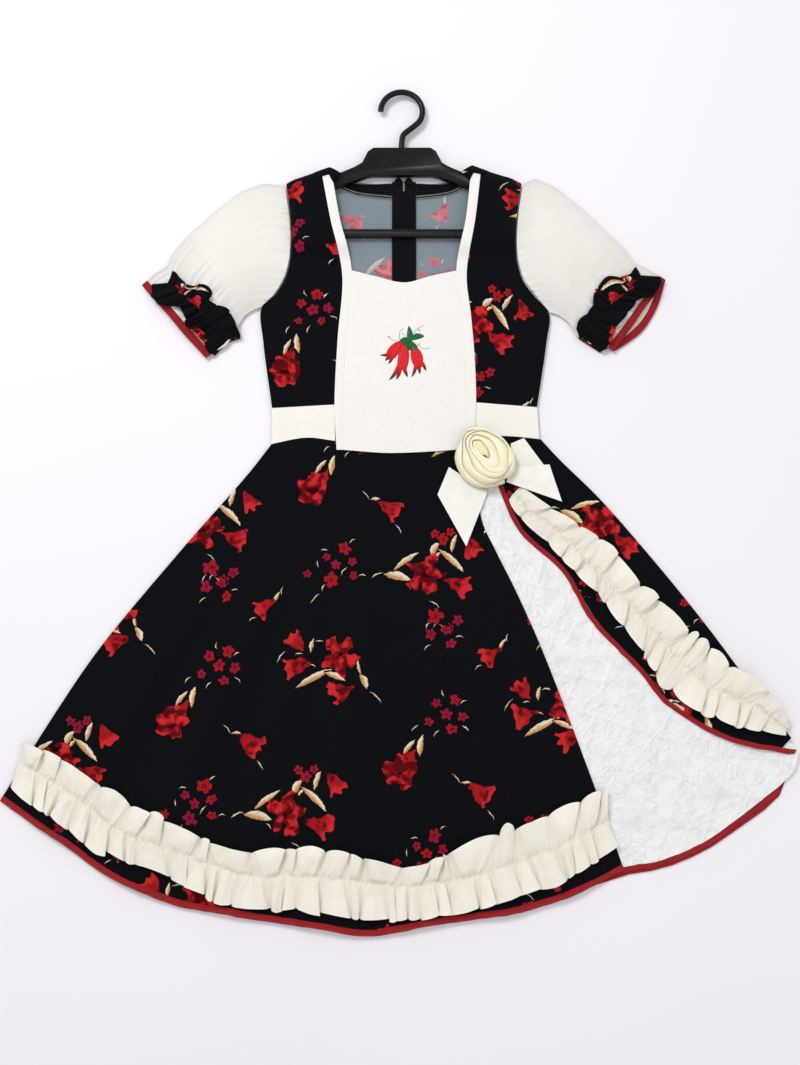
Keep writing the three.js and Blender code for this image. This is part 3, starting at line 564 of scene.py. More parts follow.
def print_group(name, ground, dyes):
    """The whole print in one group. dyes are the colours of its motifs."""
    tree = bpy.data.node_groups.new(name, "ShaderNodeTree")
    tree.interface.new_socket("Place", in_out="INPUT", socket_type="NodeSocketVector")
    tree.interface.new_socket("Colour", in_out="OUTPUT", socket_type="NodeSocketColor")
    start, end = group_ends(tree)
    w = Weaver(tree)
    place = w.scaled(start["Place"], 1000.0)
    shake = w.add("TexNoise", {"Vector": place, "Scale": 0.22, "Detail": 2.0}).outputs["Color"]
    place = w.vector("ADD", place, w.scaled(w.vector("SUBTRACT", shake, (0.5, 0.5, 0.5)), 3.2))
    steps = lattice_steps(w, place)
    rounds = [round_cluster(w, steps, cluster["centre"]) for cluster in PRINT]
    grain = w.noise(place, 0.35, 3.0)
    sway = w.add("TexNoise", {"Vector": place, "Scale": 0.075, "Detail": 0.6}).outputs["Color"]
    warp = w.vector("MULTIPLY", w.vector("SUBTRACT", sway, (0.5, 0.5, 0.5)), (0.9, 0.9, 0.0))
    petal_shade = w.noise(w.vector("ADD", place, w.scaled(sway, 14.0)), 0.11, 1.5)
    colour = ground

    def over(colour, inside, paint, soft=0.03):
        return w.colour(w.ramp(inside, 0.0, soft), colour, paint)

    inside, off, x = bowed_leaf(w, nearest_mark(w, rounds, "leaf"), 0.3)
    leaf = w.colour(w.ramp(w.math("MULTIPLY_ADD", off, 1.6, w.math("MULTIPLY", x, 0.4)), -0.45, 0.4),
                    dyes["tan"], dyes["cream"])
    leaf = w.colour(w.ramp(grain, 0.58, 0.8), leaf, dyes["brown"])
    colour = over(colour, inside, leaf, 0.1)
    inside, off, x = bowed_leaf(w, nearest_mark(w, rounds, "sprig"), 0.9, 0.42)
    colour = over(colour, inside, dyes["cream"], 0.3)

    inside, swing, radius = petals(w, nearest_mark(w, rounds, "small"), 5, 0.56, 0.42, 0.5, warp)
    small = w.colour(w.ramp(w.noise(place, 0.03, 1.0), 0.42, 0.58), dyes["crimson"], dyes["red"])
    small = w.colour(w.ramp(w.math("MULTIPLY_ADD", swing, 0.25, radius), 0.55, 0.2), small, dyes["deep"])
    small = w.colour(w.ramp(grain, 0.6, 0.75), small, dyes["bright"])
    colour = over(colour, inside, small, 0.08)

    inside, y, x = trumpet(w, nearest_mark(w, rounds, "trumpet"), w.scaled(warp, 0.8))
    ribs = w.math("ABSOLUTE", w.math("SINE", w.math("MULTIPLY", y, 4.5)))
    bloom = w.colour(w.ramp(w.math("ADD", petal_shade, w.math("MULTIPLY", ribs, 0.12)), 0.42, 0.6), dyes["deep"],
                     dyes["red"])
    bloom = w.colour(w.ramp(w.math("ADD", x, w.math("MULTIPLY", petal_shade, 1.2)), 0.75, 1.15), bloom,
                     dyes["bright"])
    colour = over(colour, inside, bloom, 0.04)

    for kind, heart, reach, sharp in (("rosette", 0.74, 0.26, 0.9), ("lily", 0.6, 0.44, 1.1)):
        inside, swing, radius = petals(w, nearest_mark(w, rounds, kind), 5, heart, reach, sharp, warp)
        lit = w.math("MULTIPLY_ADD", swing, -0.16, petal_shade)
        bloom = w.colour(w.ramp(lit, 0.32, 0.5), dyes["deep"], dyes["red"])
        bloom = w.colour(w.ramp(w.math("MULTIPLY_ADD", radius, 0.16, lit), 0.52, 0.66), bloom, dyes["bright"])
        bloom = w.colour(w.ramp(radius, 0.26, 0.1), bloom, dyes["heart"])
        colour = over(colour, inside, bloom, 0.03)
    tree.links.new(colour, end["Colour"])
    print(f"{name}: {len(tree.nodes)} nodes")
    return tree


RIGHT_SIDE_DYES = {
    "red": srgb(166, 26, 32), "deep": srgb(92, 10, 16), "bright": srgb(206, 44, 46), "heart": srgb(48, 4, 10),
    "crimson": srgb(140, 26, 52), "tan": srgb(202, 146, 86), "cream": srgb(238, 222, 198), "brown": srgb(146, 94, 56),
}
FLOWER_PRINT = print_group("Flower print", srgb(13, 14, 18), RIGHT_SIDE_DYES)
WRONG_SIDE_DYES = {
    "red": srgb(206, 120, 128), "deep": srgb(170, 92, 104), "bright": srgb(216, 138, 142),
    "heart": srgb(120, 80, 92), "crimson": srgb(180, 112, 130), "tan": srgb(196, 178, 160),
    "cream": srgb(206, 200, 194), "brown": srgb(170, 150, 138),
}
PALE_PRINT = print_group("Flower print, wrong side", srgb(134, 146, 154), WRONG_SIDE_DYES)


def printed(group, moved, turn):
    """The print, with the cloth shifted by millimetres and turned by degrees under the piece."""
    def paint(w, place):
        laid = w.add("Mapping", {"Vector": place, "Location": (moved[0] * MM, moved[1] * MM, 0),
                                 "Rotation": (0, 0, math.radians(turn))}, vector_type="TEXTURE").outputs[0]
        return w.add("Group", {"Place": laid}, node_tree=group).outputs["Colour"]
    return paint


def print_cotton(name, moved=(0, 0), turn=0, group=FLOWER_PRINT, contrast=0.18, **settings):
    return cloth_finish(name, printed(group, moved, turn), contrast=contrast, **settings)


SKIRT_PRINT = print_cotton("printed skirt cotton", rumple=0.05)
PANEL_PRINT = print_cotton("printed side panel cotton", (-18, -138), -20, rumple=0.05)
BODICE_PRINT = {"left": print_cotton("printed bodice cotton, left", (-102, -132), 16),
                "right": print_cotton("printed bodice cotton, right", (-156, 96), -16)}
FRILL_PRINT = print_cotton("printed frill cotton", (20, 10), 30, rumple=0.01)
WRONG_PRINT = {"left": print_cotton("wrong side of the print, left", (108, 54), 8, PALE_PRINT, 0.2),
               "right": print_cotton("wrong side of the print, right", (162, -72), 32, PALE_PRINT, 0.2)}

# %% [markdown]
# The skirt's front is one wide flared panel from the left side seam to the slit, with the hem's edge inside
# a red bias binding. A piece of this size needs points about every four millimetres to carry soft folds, so
# it is a fine grid stretched between its four cut edges, set on the skirt's height, with faint creases that
# run out from the waist as pressed cotton keeps them.

# %% The front of the skirt
LEFT_SIDE = Edge([[-156, 108], [-182, 73], [-259, -19], [-356, -142], [-418, -240], [-460, -313]])
RIGHT_SIDE = Edge([[171, 114], [194, 88], [241, 40], [303, -35], [364, -115], [418, -192], [459, -249]])
HEM = Edge([
    [-462, -315], [-390, -362], [-335, -398], [-265, -428], [-190, -443], [-107, -455], [-30, -465],
    [36, -453], [141, -438], [222, -410], [257, -392],
])
SLIT_LEFT = Edge([[92, 98], [95, 50], [100, 6], [121, -36], [160, -123], [206, -246], [254, -383]])
SLIT_RIGHT = Edge([
    [108, 117.3], [126, 57], [147, 7], [197, -42], [237, -109], [286, -161], [318, -201], [390, -242], [452, -254],
])
WAIST = [[-113, 116.2], [-96, 114.6], [-85, 113.6], [-79.6, 112.6], [-78, 99.8], [-72, 98.5], [-12, 95.5], [66, 99]]


def skirt_creases(x, y):
    """Faint creases, longest along the fan's rays."""
    angle, radius = on_fan(x, y)
    rays = ripple(angle * 6, radius * 0.12, 26, 3)
    return (0.55 * rays + 0.35 * ripple(x, y, 90, 4)) * smooth((radius - 200) / 120)


def skirt_top(x, y, wall=CLOTH):
    return skirt_low(x, y) + wall + skirt_creases(x, y)


def skirt_panel(name, plan, across, down, finish, stands_for):
    def shape(u, v):
        x, y = plan(u, v).T
        return np.stack([x, y, skirt_top(x, y)], -1)
    piece = grid(name, across, down, shape)
    return dress(piece, finish, stands_for, wall=1.1)


HEM_ROLL, SLIT_ROLL, LACE_ROLL = 7.2, 6.2, 6.0  # how wide each binding shows
front_hem = HEM.beside(HEM_ROLL)
left_edge = Edge(np.vstack([LEFT_SIDE.at(np.linspace(0, 0.82, 12)), front_hem.at(0.0)]))
slit_edge = Edge(np.vstack([SLIT_LEFT.at(np.linspace(0, 0.9, 12)), front_hem.at(1.0)]))
waist_edge = Edge([left_edge.at(0.0), *WAIST, slit_edge.at(0.0)])
front_plan = four_sided(waist_edge, slit_edge, front_hem, left_edge)
skirt_front = skirt_panel("skirt_front_cloth", front_plan, 130, 120, SKIRT_PRINT, ["skirt_front_left"])
cut_cloth(skirt_front)

# %% [markdown]
# The side panel beyond the slit is a long triangle. It starts under the rose and widens to nothing at the
# hem, because its lower part is turned under the lace.

# %% The side panel
side_slit = Edge(SLIT_RIGHT.beside(-1.8).at(np.linspace(0, 0.985, 80)))
right_edge = Edge(RIGHT_SIDE.at(np.linspace(0, 0.985, 40)))
side_plan = four_sided(Edge([side_slit.at(0.0), [135, 117.4], right_edge.at(0.0)]), right_edge,
                       Edge([side_slit.at(1.0), right_edge.at(1.0)]), side_slit)
side_panel = skirt_panel("skirt_side_cloth", side_plan, 40, 150, PANEL_PRINT, ["skirt_front_right"])
cut_cloth(side_panel, size=(0.13, 0.52))

# %% [markdown]
# Bias binding is a strip cut at 45 degrees, folded over the raw edge and stitched down. It shows as a narrow
# satin roll, a little thicker than the cloth, pulled in by its stitches every few millimetres. Each one is a
# narrow grid beside its edge with a rounded section and small uneven puckers.

# %% Red bindings of the skirt
def binding(name, edge, inner, outer, height, stands_for, high=2.0):
    """A bound edge between two distances beside an edge, on a height."""
    plan = between(edge.beside(inner) if inner else edge, edge.beside(outer) if outer else edge)

    def shape(u, v):
        run = u * edge.length
        section = 1 - np.abs(2 * v - 1) ** 3
        pucker = 0.3 * ripple(run, v * 12, 9, 8) * (0.3 + section)
        waver = 0.7 * ripple(run, 0 * run, 60, 9) + 0.3 * ripple(run, 0 * run, 21, 10)
        x, y = (plan(u, v) + waver[:, None] * turned(edge.heading(u))).T
        return np.stack([x, y, height(x, y) + 0.9 + (high - 0.9) * section + pucker], -1)
    piece = grid(name, int(edge.length / 3), 8, shape,
                 cloth=lambda u, v: np.stack([u * edge.length, v * BINDING], -1))
    dress(piece, RED_BIAS, stands_for, wall=0.9)
    cut_cloth(piece, size=(edge.length * MM, 0.012))


binding("hem_binding_roll", HEM, HEM_ROLL + 0.8, 0, skirt_low, ["hem_binding"])
slit_to_hem = Edge([*SLIT_RIGHT.at(np.linspace(0, 1, 40)), [457, -252.5], [461.5, -255]])
binding("slit_binding_roll", slit_to_hem, -1.4, -1.4 - SLIT_ROLL, skirt_low, ["slit_binding"])

# %% [markdown]
# Behind the slit an underskirt of white jacquard shows. Its embroidered curls stand a little above a shiny
# ground, and it lies in shallow folds from its own waist. The curls are too fine to model, so they are a
# bump in the finish, and the folds are in the mesh.

# %% The underskirt
def lace_finish():
    finish, shader, w = new_finish("white jacquard")
    place = cloth_place(w)
    bent = w.add("TexNoise", {"Vector": place, "Scale": 55.0, "Detail": 2.0}).outputs["Color"]
    bent = w.vector("ADD", place, w.scaled(w.vector("SUBTRACT", bent, (0.5, 0.5, 0.5)), 0.022))
    curls = w.add("TexWave", {"Vector": bent, "Scale": 30.0, "Distortion": 4.0, "Detail": 1.0},
                  wave_type="RINGS", rings_direction="SPHERICAL").outputs["Fac"]
    cells = w.add("TexVoronoi", {"Vector": bent, "Scale": 90.0}, feature="DISTANCE_TO_EDGE").outputs["Distance"]
    cord = w.math("MAXIMUM", w.ramp(curls, 0.7, 0.92), w.ramp(cells, 0.1, 0.03))
    patches = w.ramp(w.noise(place, 34.0, 2.0), 0.34, 0.5)
    raised = w.math("MULTIPLY", cord, patches)
    weave = woven(w, place, 0.0005, 0.02, 0.002)
    ground = w.colour(w.ramp(w.noise(bent, 60.0, 3.0, 0.5), 0.34, 0.6), srgb(241, 240, 242), srgb(255, 255, 255))
    w.plug(shader, {"Base Color": w.colour(raised, ground, srgb(255, 255, 255)),
                    "Roughness": w.ramp(raised, 0, 1, 0.4, 0.65),
                    "Normal": w.bump(w.math("MULTIPLY_ADD", raised, 0.0024, weave.outputs["Height"]), 0.6),
                    "Sheen Weight": 0.1})
    return finish


LACE = lace_finish()
UNDER_HEM = Edge([[212, -402], [257, -390], [298, -383], [348, -363], [382, -341], [437, -301]]).beside(-4.5)
under_inner = UNDER_HEM.beside(LACE_ROLL - 0.4)
under_left = Edge([[88, 92], [84, 0], [110, -90], [150, -200], [190, -330], under_inner.at(0.0)])
under_right = Edge([[122, 92], [170, 20], [240, -55], [330, -165], [404, -220], [448, -245], [462, -258], [455, -282],
                    under_inner.at(1.0)])
under_plan = four_sided(Edge([under_left.at(0.0), under_right.at(0.0)]), under_right, under_inner, under_left)


def lace_shape(u, v):
    x, y = under_plan(u, v).T
    creases = 0.4 * ripple(u * 120, v * 40, 30, 12) + 0.4 * ripple(x, y, 20, 13)
    pressed = [1.9 * np.exp(-(np.abs(np.mod(run, every) - every / 2) / 1.1)) for run, every in
               ((y + 0.25 * x + 4 * ripple(x, y, 80, 14), 47), (x - 0.35 * y + 4 * ripple(x, y, 90, 15), 41))]
    over_back = 0.9 * smooth((x - 425) / 20)
    relief = np.clip(creases + sum(pressed), -0.6, 1.7) * smooth(v * 6)
    return np.stack([x, y, ON_BACK + 1.1 + over_back + relief], -1)


lace = dress(grid("underskirt_cloth", 140, 200, lace_shape), LACE, ["underskirt_panel"], wall=0.6)
cut_cloth(lace, size=(0.30, 0.50))
binding("underskirt_binding_roll", UNDER_HEM, LACE_ROLL, 0, lambda x, y: 0 * x + ON_BACK, ["underskirt_binding"],
        high=1.7)

# %% [markdown]
# A double-edged ruffle is a straight strip, about twice as long as the line it is sewn to, shirred along its
# middle. The gathers start as tight crinkles at the stitches and open into flat folds that lap over each
# other at the two free edges, each a few millimetres over the next. Where one laps, its edge is a crisp step
# with a narrow shadow under it. Here the strip is a fine grid, and every point is told which fold it is in,
# how far along that fold it is, and how loose the strip is there: nothing at the stitches, all at the edge.

# %% Lapped folds of a gathered strip
def fold_row(chance, count):
    """The folds of one free edge: where they start, how high they stand and which way they lap."""
    widths = chance.uniform(0.4, 1.0, count) + 0.9 * (chance.random(count) > 0.55) * chance.random(count)
    start = np.concatenate([[0], np.cumsum(widths)]) / widths.sum()
    room = np.minimum(widths[1:], widths[:-1]) / widths.sum()
    foot = start + np.concatenate([[0], chance.uniform(-0.45, 0.45, count - 1) * room, [0]])
    lap = chance.uniform(0.3, 1.1, count) * chance.choice([-1, 1], count, p=[0.35, 0.65])
    for first, second in zip(range(count - 1), range(1, count)):
        if lap[first] > 0 > lap[second]:  # two laps that face each other only meet
            lap[first], lap[second] = 0.08, -0.08
    return {"start": start, "foot": foot, "lap": lap, "high": chance.uniform(0.45, 1.15, count),
            "out": chance.uniform(-1, 1, count), "tilt": chance.uniform(-1, 1, count)}


def in_folds(row, u, loose):
    """For each point: its share of the way along the edge, how far it laps, its height, and its lobe."""
    fold = np.clip(np.searchsorted(row["start"], u, side="right") - 1, 0, len(row["lap"]) - 1)
    part = (u - row["start"][fold]) / (row["start"][fold + 1] - row["start"][fold])
    part = part - 0.12 * np.sin(2 * math.pi * part)
    lap = row["lap"][fold]
    ahead = np.where(lap > 0, part, 1 - part)
    under = smooth((1 - ahead) / 0.15)
    along = lerp(u, lerp(row["foot"][fold], row["foot"][fold + 1], part), loose)
    stand = 0.45 * smooth(ahead / 0.12) + 0.55 * smooth((ahead - 0.2) / 0.35)
    stand = row["high"][fold] * stand * under * (1 + 0.12 * row["tilt"][fold] * (2 * part - 1))
    lobe = np.sin(math.pi * np.clip(part, 0, 1))
    out = np.interp(u, (row["start"][1:] + row["start"][:-1]) / 2, row["out"])
    return along, lap * smooth(ahead / 0.8) * under, stand, lobe, out, row["tilt"][fold] * (part - 0.5)


def tucks(chance, run, loose, length):
    """Sharp little ridges that start at the gathering stitches and run out into the cloth, each its own way."""
    total = np.zeros_like(run)
    for at in np.arange(0, length, 4.6):
        at = at + chance.uniform(-2.5, 2.5)
        slant, wide = chance.uniform(-10, 10), chance.uniform(0.8, 1.9)
        far = chance.uniform(0.12, 0.6) + (chance.random() > 0.75) * 0.5
        high = chance.uniform(0.3, 1)
        away = np.abs(run - at - slant * loose) / (wide * (1 + 1.5 * loose))
        total = np.maximum(total, high * np.exp(-away ** 1.2 - (loose / far) ** 2))
    return total


# %% The two ruffles
def ruffle(name, upper, shirr, lower, folds, high, lap, seed, stands_for, lobes=(0.17, 0.05)):
    chance = np.random.default_rng(seed)
    rows = [fold_row(chance, count) for count in folds]

    def shape(u, v):
        side = 2 * v - 1
        loose = np.abs(side) ** 1.2
        above, below = (in_folds(row, u, loose) for row in rows)
        along, push, stand, lobe, out, slant = (np.where(side < 0, a, b) for a, b in zip(above, below))
        along = np.clip(along, 0, 1)
        grown = smooth(loose / 0.2) * lerp(0.5, 1, smooth(loose / 0.8))
        again = np.random.default_rng(seed + 5)
        pinch = np.where(side < 0, *(tucks(again, u * shirr.length, loose, shirr.length) for _ in range(2)))
        scallop = np.where(side < 0, (lobes[0] + 0.11 * out) * (lobe ** 0.55 - 0.8) + 0.12 * slant,
                           (lobes[1] + 0.4 * lobes[1] * out) * (lobe ** 0.5 - 0.8) + 0.14 * slant)
        reach = loose * (1 + (scallop + np.where(side < 0, 0.12, 0.07) * out) * loose)
        crinkle = 0.9 * ripple(u * shirr.length, v * 11, 7, seed + 1) * np.exp(-((loose / 0.5) ** 2))
        waver = 1.3 * ripple(u * shirr.length, 0 * u, 24, seed) * (1 - loose) * smooth(np.sin(math.pi * u) * 8)
        rim = lerp(lower.at(along), upper.at(along), (side < 0)[:, None])
        spot = lerp(shirr.at(along), rim, reach[:, None])
        ahead = shirr.heading(along)
        spot = spot + (lap * push * lerp(0.25, 1, loose) * smooth(loose / 0.15))[:, None] * ahead
        spot = spot + waver[:, None] * turned(ahead)
        x, y = spot.T
        base = skirt_low(x, y) + CLOTH + 1.2
        arch = 0.8 * np.sin(math.pi * loose) + 0.5 * ripple(x, y, 17, seed + 2) * smooth(loose / 0.3)
        return np.stack([x, y, base + high * stand * grown + np.maximum(3.0 * pinch + crinkle, 0) + arch], -1)

    piece = grid(name, max(folds) * 24, 38, shape, cloth=lambda u, v: np.stack([u * shirr.length * 2, v * 75], -1))
    dress(piece, RUFFLE_CREAM, stands_for, wall=0.7)
    cut_cloth(piece, size=(shirr.length * MM * 1.9, 0.070))


ruffle("hem_ruffle",
       Edge([[-438, -244], [-389, -263], [-332, -305], [-276, -333], [-184, -370], [-123, -368], [-60, -371],
             [-1, -386], [46, -376], [99, -355], [158, -333], [207, -316], [238, -304]]),
       Edge([[-441, -271], [-383, -303], [-321, -348], [-252, -373], [-172, -398], [-122, -398], [-73, -401],
             [5, -409], [56, -404], [107, -391], [141, -381], [198, -358], [240, -336]]),
       Edge([[-450, -300], [-380, -347], [-347, -370], [-286, -390], [-239, -414], [-182, -432], [-88, -440],
             [-33, -447], [14, -446], [68, -439], [111, -427], [179, -408], [246, -366]]),
       folds=(24, 34), high=8.2, lap=7.5, seed=21, stands_for=["ruffle_hem"])
ruffle("slit_ruffle",
       Edge([[146, 56], [168, 38], [200, 16], [243, -8], [289, -64], [342, -120], [388, -160], [430, -183],
             [456, -226]]),
       Edge([[137, 47], [154, 27], [187, 2], [243, -58], [304, -125], [334, -162], [369, -187], [411, -205],
             [450, -234]]),
       Edge([[130, 38], [147, 12], [174, -14], [236, -80], [279, -136], [310, -187], [345, -211], [403, -233],
             [447, -240]]),
       folds=(12, 17), high=8.2, lap=8.0, seed=37, stands_for=["ruffle_slit"], lobes=(0.18, 0.22))

# %% [markdown]
# The bodice front is three pieces: a side panel of printed cotton at each side, and a white bib between two
# straps that run from the waist up to the shoulders. They are cut to shape and sewn edge to edge, so they
# are laid beside each other on one height, which carries them over the hanger.

# %% The bodice front
ARMHOLE = {
    "left": Edge([[-143, 443], [-136, 394], [-135, 358], [-140, 326], [-153, 300], [-171, 281]]),
    "right": Edge([[153, 445], [146, 400], [144, 355], [152, 318], [166, 297], [184, 274]]),
}
SIDE = {"left": [[-171, 281], [-168, 236], [-156, 154]], "right": [[184, 274], [180, 236], [167, 155]]}
STRAP_OUTER = {
    "left": [[-99, 459], [-87, 395], [-72, 325], [-77, 240], [-80, 157], [-77, 101]],
    "right": [[102, 461], [94, 395], [83, 325], [88, 270], [92, 213], [93, 161], [91, 103]],
}
STRAP_INNER = {
    "left": Edge([[-87, 464], [-75, 395], [-60, 330], [-66, 240], [-70, 157], [-69, 101]]),
    "right": Edge([[90, 467], [82, 395], [70, 331], [77, 270], [80, 213], [82, 161], [82, 103]]),
}
BIB_TOP = 330
BIB_WALL = 1.7
DOUBLE = 1.9  # wall of cotton that is folded double
OVER_STRAP = 2.8  # face of the printed cotton where it turns over a strap


def bodice_top(x, y, wall):
    return bodice_low(x, y) + wall + 0.35 * ripple(x, y, 55, 17) * smooth((460 - y) / 30)


def bodice_panel(name, plan, finish, stands_for, wall, across, down, top=bodice_top, size=None, width=70):
    def shape(u, v):
        x, y = plan(u, v).T
        seam = 0.45 * (np.exp(-u * width / 1.4) + np.exp(-(1 - u) * width / 1.4))
        return np.stack([x, y, top(x, y, wall) - seam], -1)
    piece = dress(grid(name, across, down, shape), finish, stands_for, wall=wall * 0.8)
    cut_cloth(piece, size=size)


for side, waist_row in (("left", 157.5), ("right", 160)):
    marks = STRAP_OUTER[side]
    outer = Edge([*ARMHOLE[side].at(np.linspace(0, 1, 8)), *SIDE[side][1:]])
    inner = Edge([*marks[:-2], [marks[-2][0], waist_row]])
    plan = four_sided(Edge([inner.at(0.0), ARMHOLE[side].at(0.0)]), outer, Edge([inner.at(1.0), outer.at(1.0)]),
                      inner)
    bodice_panel(f"bodice_front_{side}_cloth", plan, BODICE_PRINT[side],
                 [f"bodice_front_{side}"], CLOTH, 30, 110)
    strap_plan = between(Edge(marks), STRAP_INNER[side])
    bodice_panel(f"strap_{side}_cloth", lambda u, v, p=strap_plan: p(v, lerp(0.018, 1, u)), BIB_WHITE,
                 [f"strap_{side}"], DOUBLE, 10, 120, size=(0.016, 0.37), width=12)

TURNS = {  # upper and lower edge, where the printed cotton of the shoulders turns over the tops of the straps
    "left": ([[-108, 455.6], [-99, 459.2], [-88.4, 463], [-73, 453.5]],
             [[-103, 448.3], [-98, 449.8], [-89, 452.3], [-84, 442.5]]),
    "right": ([[112, 457.6], [102.5, 461.4], [90.6, 466.2], [77, 455.7]],
              [[104, 452.3], [100, 452.9], [92, 454.5], [87, 445]]),
}
for side, (top, bottom) in TURNS.items():
    bodice_panel(f"shoulder_{side}_cloth", between(straight(*top), straight(*bottom)), BODICE_PRINT[side],
                 [], OVER_STRAP, 20, 12, width=40)

BANDS = {
    "left": ([[-80, 157.4], [-156, 152.9]], [[-78.6, 112], [-113, 116], [-155, 108.5]]),
    "right": ([[93.2, 160], [167, 154]], [[92, 117.5], [130, 118], [169, 114.5]]),
}
for side, (top, bottom) in BANDS.items():
    bodice_panel(f"waistband_{side}_cloth", between(Edge(top), Edge(bottom)), BAND_WHITE,
                 [f"waistband_{side}"], DOUBLE, 26, 14,
                 top=lambda x, y, wall: FRONT + wall + 0.5 * ripple(x * 0.4, y, 26, 19))


def below(edge, height):
    """The stretch of an edge under a height of the plan."""
    start = next(t for t in np.linspace(0, 1, 501) if edge.at(t)[1] <= height)
    return edge.part(start, 1)


bib_left = below(STRAP_INNER["left"], BIB_TOP)
bib_right = below(STRAP_INNER["right"], BIB_TOP)
bib_plan = four_sided(Edge([bib_left.at(0.0), [-30, 322], [6, 314], [40, 323], bib_right.at(0.0)]), bib_right,
                      Edge([bib_left.at(1.0), [-12, 97], [66, 101], bib_right.at(1.0)]), bib_left)
bodice_panel("bib_cloth", bib_plan, BIB_WHITE, ["bib_panel"], BIB_WALL, 60, 80, width=145)

# %% [markdown]
# Through the neck the inside of the back shows: the pale wrong side of the print, a black facing along the
# neckline whose edge is overlocked, and a black placket down the middle that covers the zip. The backs lie
# flat on the floor, so they are thin sheets with a few soft dents.

# %% The inside of the back
NECK = {"left": [-87, 464], "right": [90, 467]}
MIDDLE = (PLACKET["left"] + PLACKET["right"]) / 2


def inside_back(name, plan, finish, stands_for, low, wall, across, down, soft):
    def shape(u, v):
        x, y = plan(u, v).T
        return np.stack([x, y, low + wall + soft * (ripple(x, y, 46, 23) - 1) / 2], -1)
    piece = dress(grid(name, across, down, shape), finish, stands_for, wall=wall * 0.6)
    cut_cloth(piece)


def facing_edge(side, sign, marks):
    """An edge of a neck facing: how far out towards the shoulder and how high each mark lies."""
    start, end = PLACKET[side] + sign * SEAM, NECK[side][0]
    return Edge([[lerp(start, end, out), height] for out, height in marks])


SIDES = (("left", -1), ("right", 1))
FACING_LOWER = [(0, 425), (0.6, 431), (0.98, 444)]
for side, sign in SIDES:
    outer = Edge([*ARMHOLE[side].at(np.linspace(0, 1, 8)), *SIDE[side][1:], [-155, 110] if sign < 0 else [169, 115]])
    middle = MIDDLE + sign * SEAM / 2
    end_x, end_y = NECK[side]
    top = Edge([[middle, 446], [lerp(middle, end_x, 0.55), 447], [lerp(middle, end_x, 0.9), 455], [end_x, end_y],
                outer.at(0.0)])
    plan = four_sided(top, outer, Edge([[middle, 112], outer.at(1.0)]), Edge([[middle, 446], [middle, 112]]))
    inside_back(f"bodice_back_{side}_cloth", plan, WRONG_PRINT[side], [f"bodice_back_{side}"],
                0, 1.35, 40, 80, 0.25)
    facing = between(facing_edge(side, sign, [(0, 446), (0.6, 446), (0.96, 457)]),
                     facing_edge(side, sign, FACING_LOWER))
    inside_back(f"neck_facing_{side}_cloth", facing, BLACK_COTTON,
                [f"neck_facing_{side}"], ON_BACK, 1.0, 40, 8, 0.2)

placket_plan = between(Edge([[PLACKET["left"], PLACKET["top"]], [PLACKET["right"], PLACKET["top"]]]),
                       Edge([[PLACKET["left"], PLACKET["bottom"]], [PLACKET["right"], PLACKET["bottom"]]]))


def placket_shape(u, v):
    x, y = placket_plan(u, v).T
    slit = 0.9 * np.exp(-(((x - MIDDLE) / 1.2) ** 2))
    stitched = 0.35 * np.exp(-(((np.abs(x - MIDDLE) - 8) / 0.8) ** 2))
    return np.stack([x, y, ON_BACK + 1.5 - slit - stitched + 0.12 * ripple(x * 2, y, 30, 25)], -1)


placket = dress(grid("zip_placket_cloth", 40, 100, placket_shape), BLACK_COTTON, ["zip_placket"],
                wall=0.4)
cut_cloth(placket)

# %% [markdown]
# A puff sleeve is a tube, gathered into the armhole and again by an elastic above the elbow. Lying down it is
# pressed flat but keeps some air: its upper face is a low dome with long soft folds, crowded with small
# gathers at both ends. It is one grid rolled round a flattened section that changes from row to row, and its
# two edges are merged where they meet underneath.

# %% The puff sleeves
SLEEVE = {  # upper end and lower end of each section, share of the armhole's curve, height, lift, underlap
    "left": [
        ([-143.8, 443.2], [-171.8, 281.2], 1, 6.4, 0, 0), ([-172, 445], [-179, 280], 0.75, 9.4, 0, 0),
        ([-200, 434], [-186, 276], 0.5, 11.0, 0, 0), ([-229, 410], [-192, 271], 0.25, 11.4, 0, 0),
        ([-262, 379], [-196, 265], 0.1, 10.4, 0, 0), ([-282, 353], [-199, 258], 0, 7.8, 1.6, 0),
        ([-290, 334], [-202, 249], 0, 6.2, 1.6, 0), ([-306, 324], [-214, 232], 0, 6.4, 1.6, 0),
        ([-313, 316], [-231, 222], 0, 6.2, 1.6, 0),
    ],
    "right": [
        ([153.8, 445.2], [184.8, 274.2], 1, 6.4, 0, 0), ([172, 452], [191, 274], 0.75, 9.4, 0, 0),
        ([199, 438], [197, 271], 0.5, 11.0, 0, 0), ([232, 409], [204, 266], 0.25, 11.4, 0, 0),
        ([262, 378], [208, 262], 0.1, 10.4, 0, 0), ([281, 357], [212, 255], 0, 7.8, 1.6, 0),
        ([292, 339], [217, 245], 0, 6.2, 1.6, 0), ([308, 331], [234, 234], 0, 6.4, 1.6, 0),
        ([322, 322], [255, 230], 0, 6.2, 1.6, 14),
    ],
}
LAST_ROW = 8  # the sleeve ends at this section, and the cuff runs on beyond it
SEAMS = {"left": ARMHOLE["left"].beside(-6 * SEAM), "right": ARMHOLE["right"].beside(6 * SEAM)}


def section_at(side, place):
    """The sleeve's section at any place between its rows."""
    rows = SLEEVE[side]
    columns = [np.array([row[k] for row in rows], float) for k in range(6)]
    columns[0][0], columns[1][0] = SEAMS[side].at(0.0), SEAMS[side].at(1.0)
    rank = np.arange(len(rows))
    top, foot = (np.stack([np.interp(place, rank, column[:, k]) for k in (0, 1)], -1) for column in columns[:2])
    bow, high, lift, under = (np.interp(place, rank, column) for column in columns[2:])
    return top, foot, bow, high, lift, under


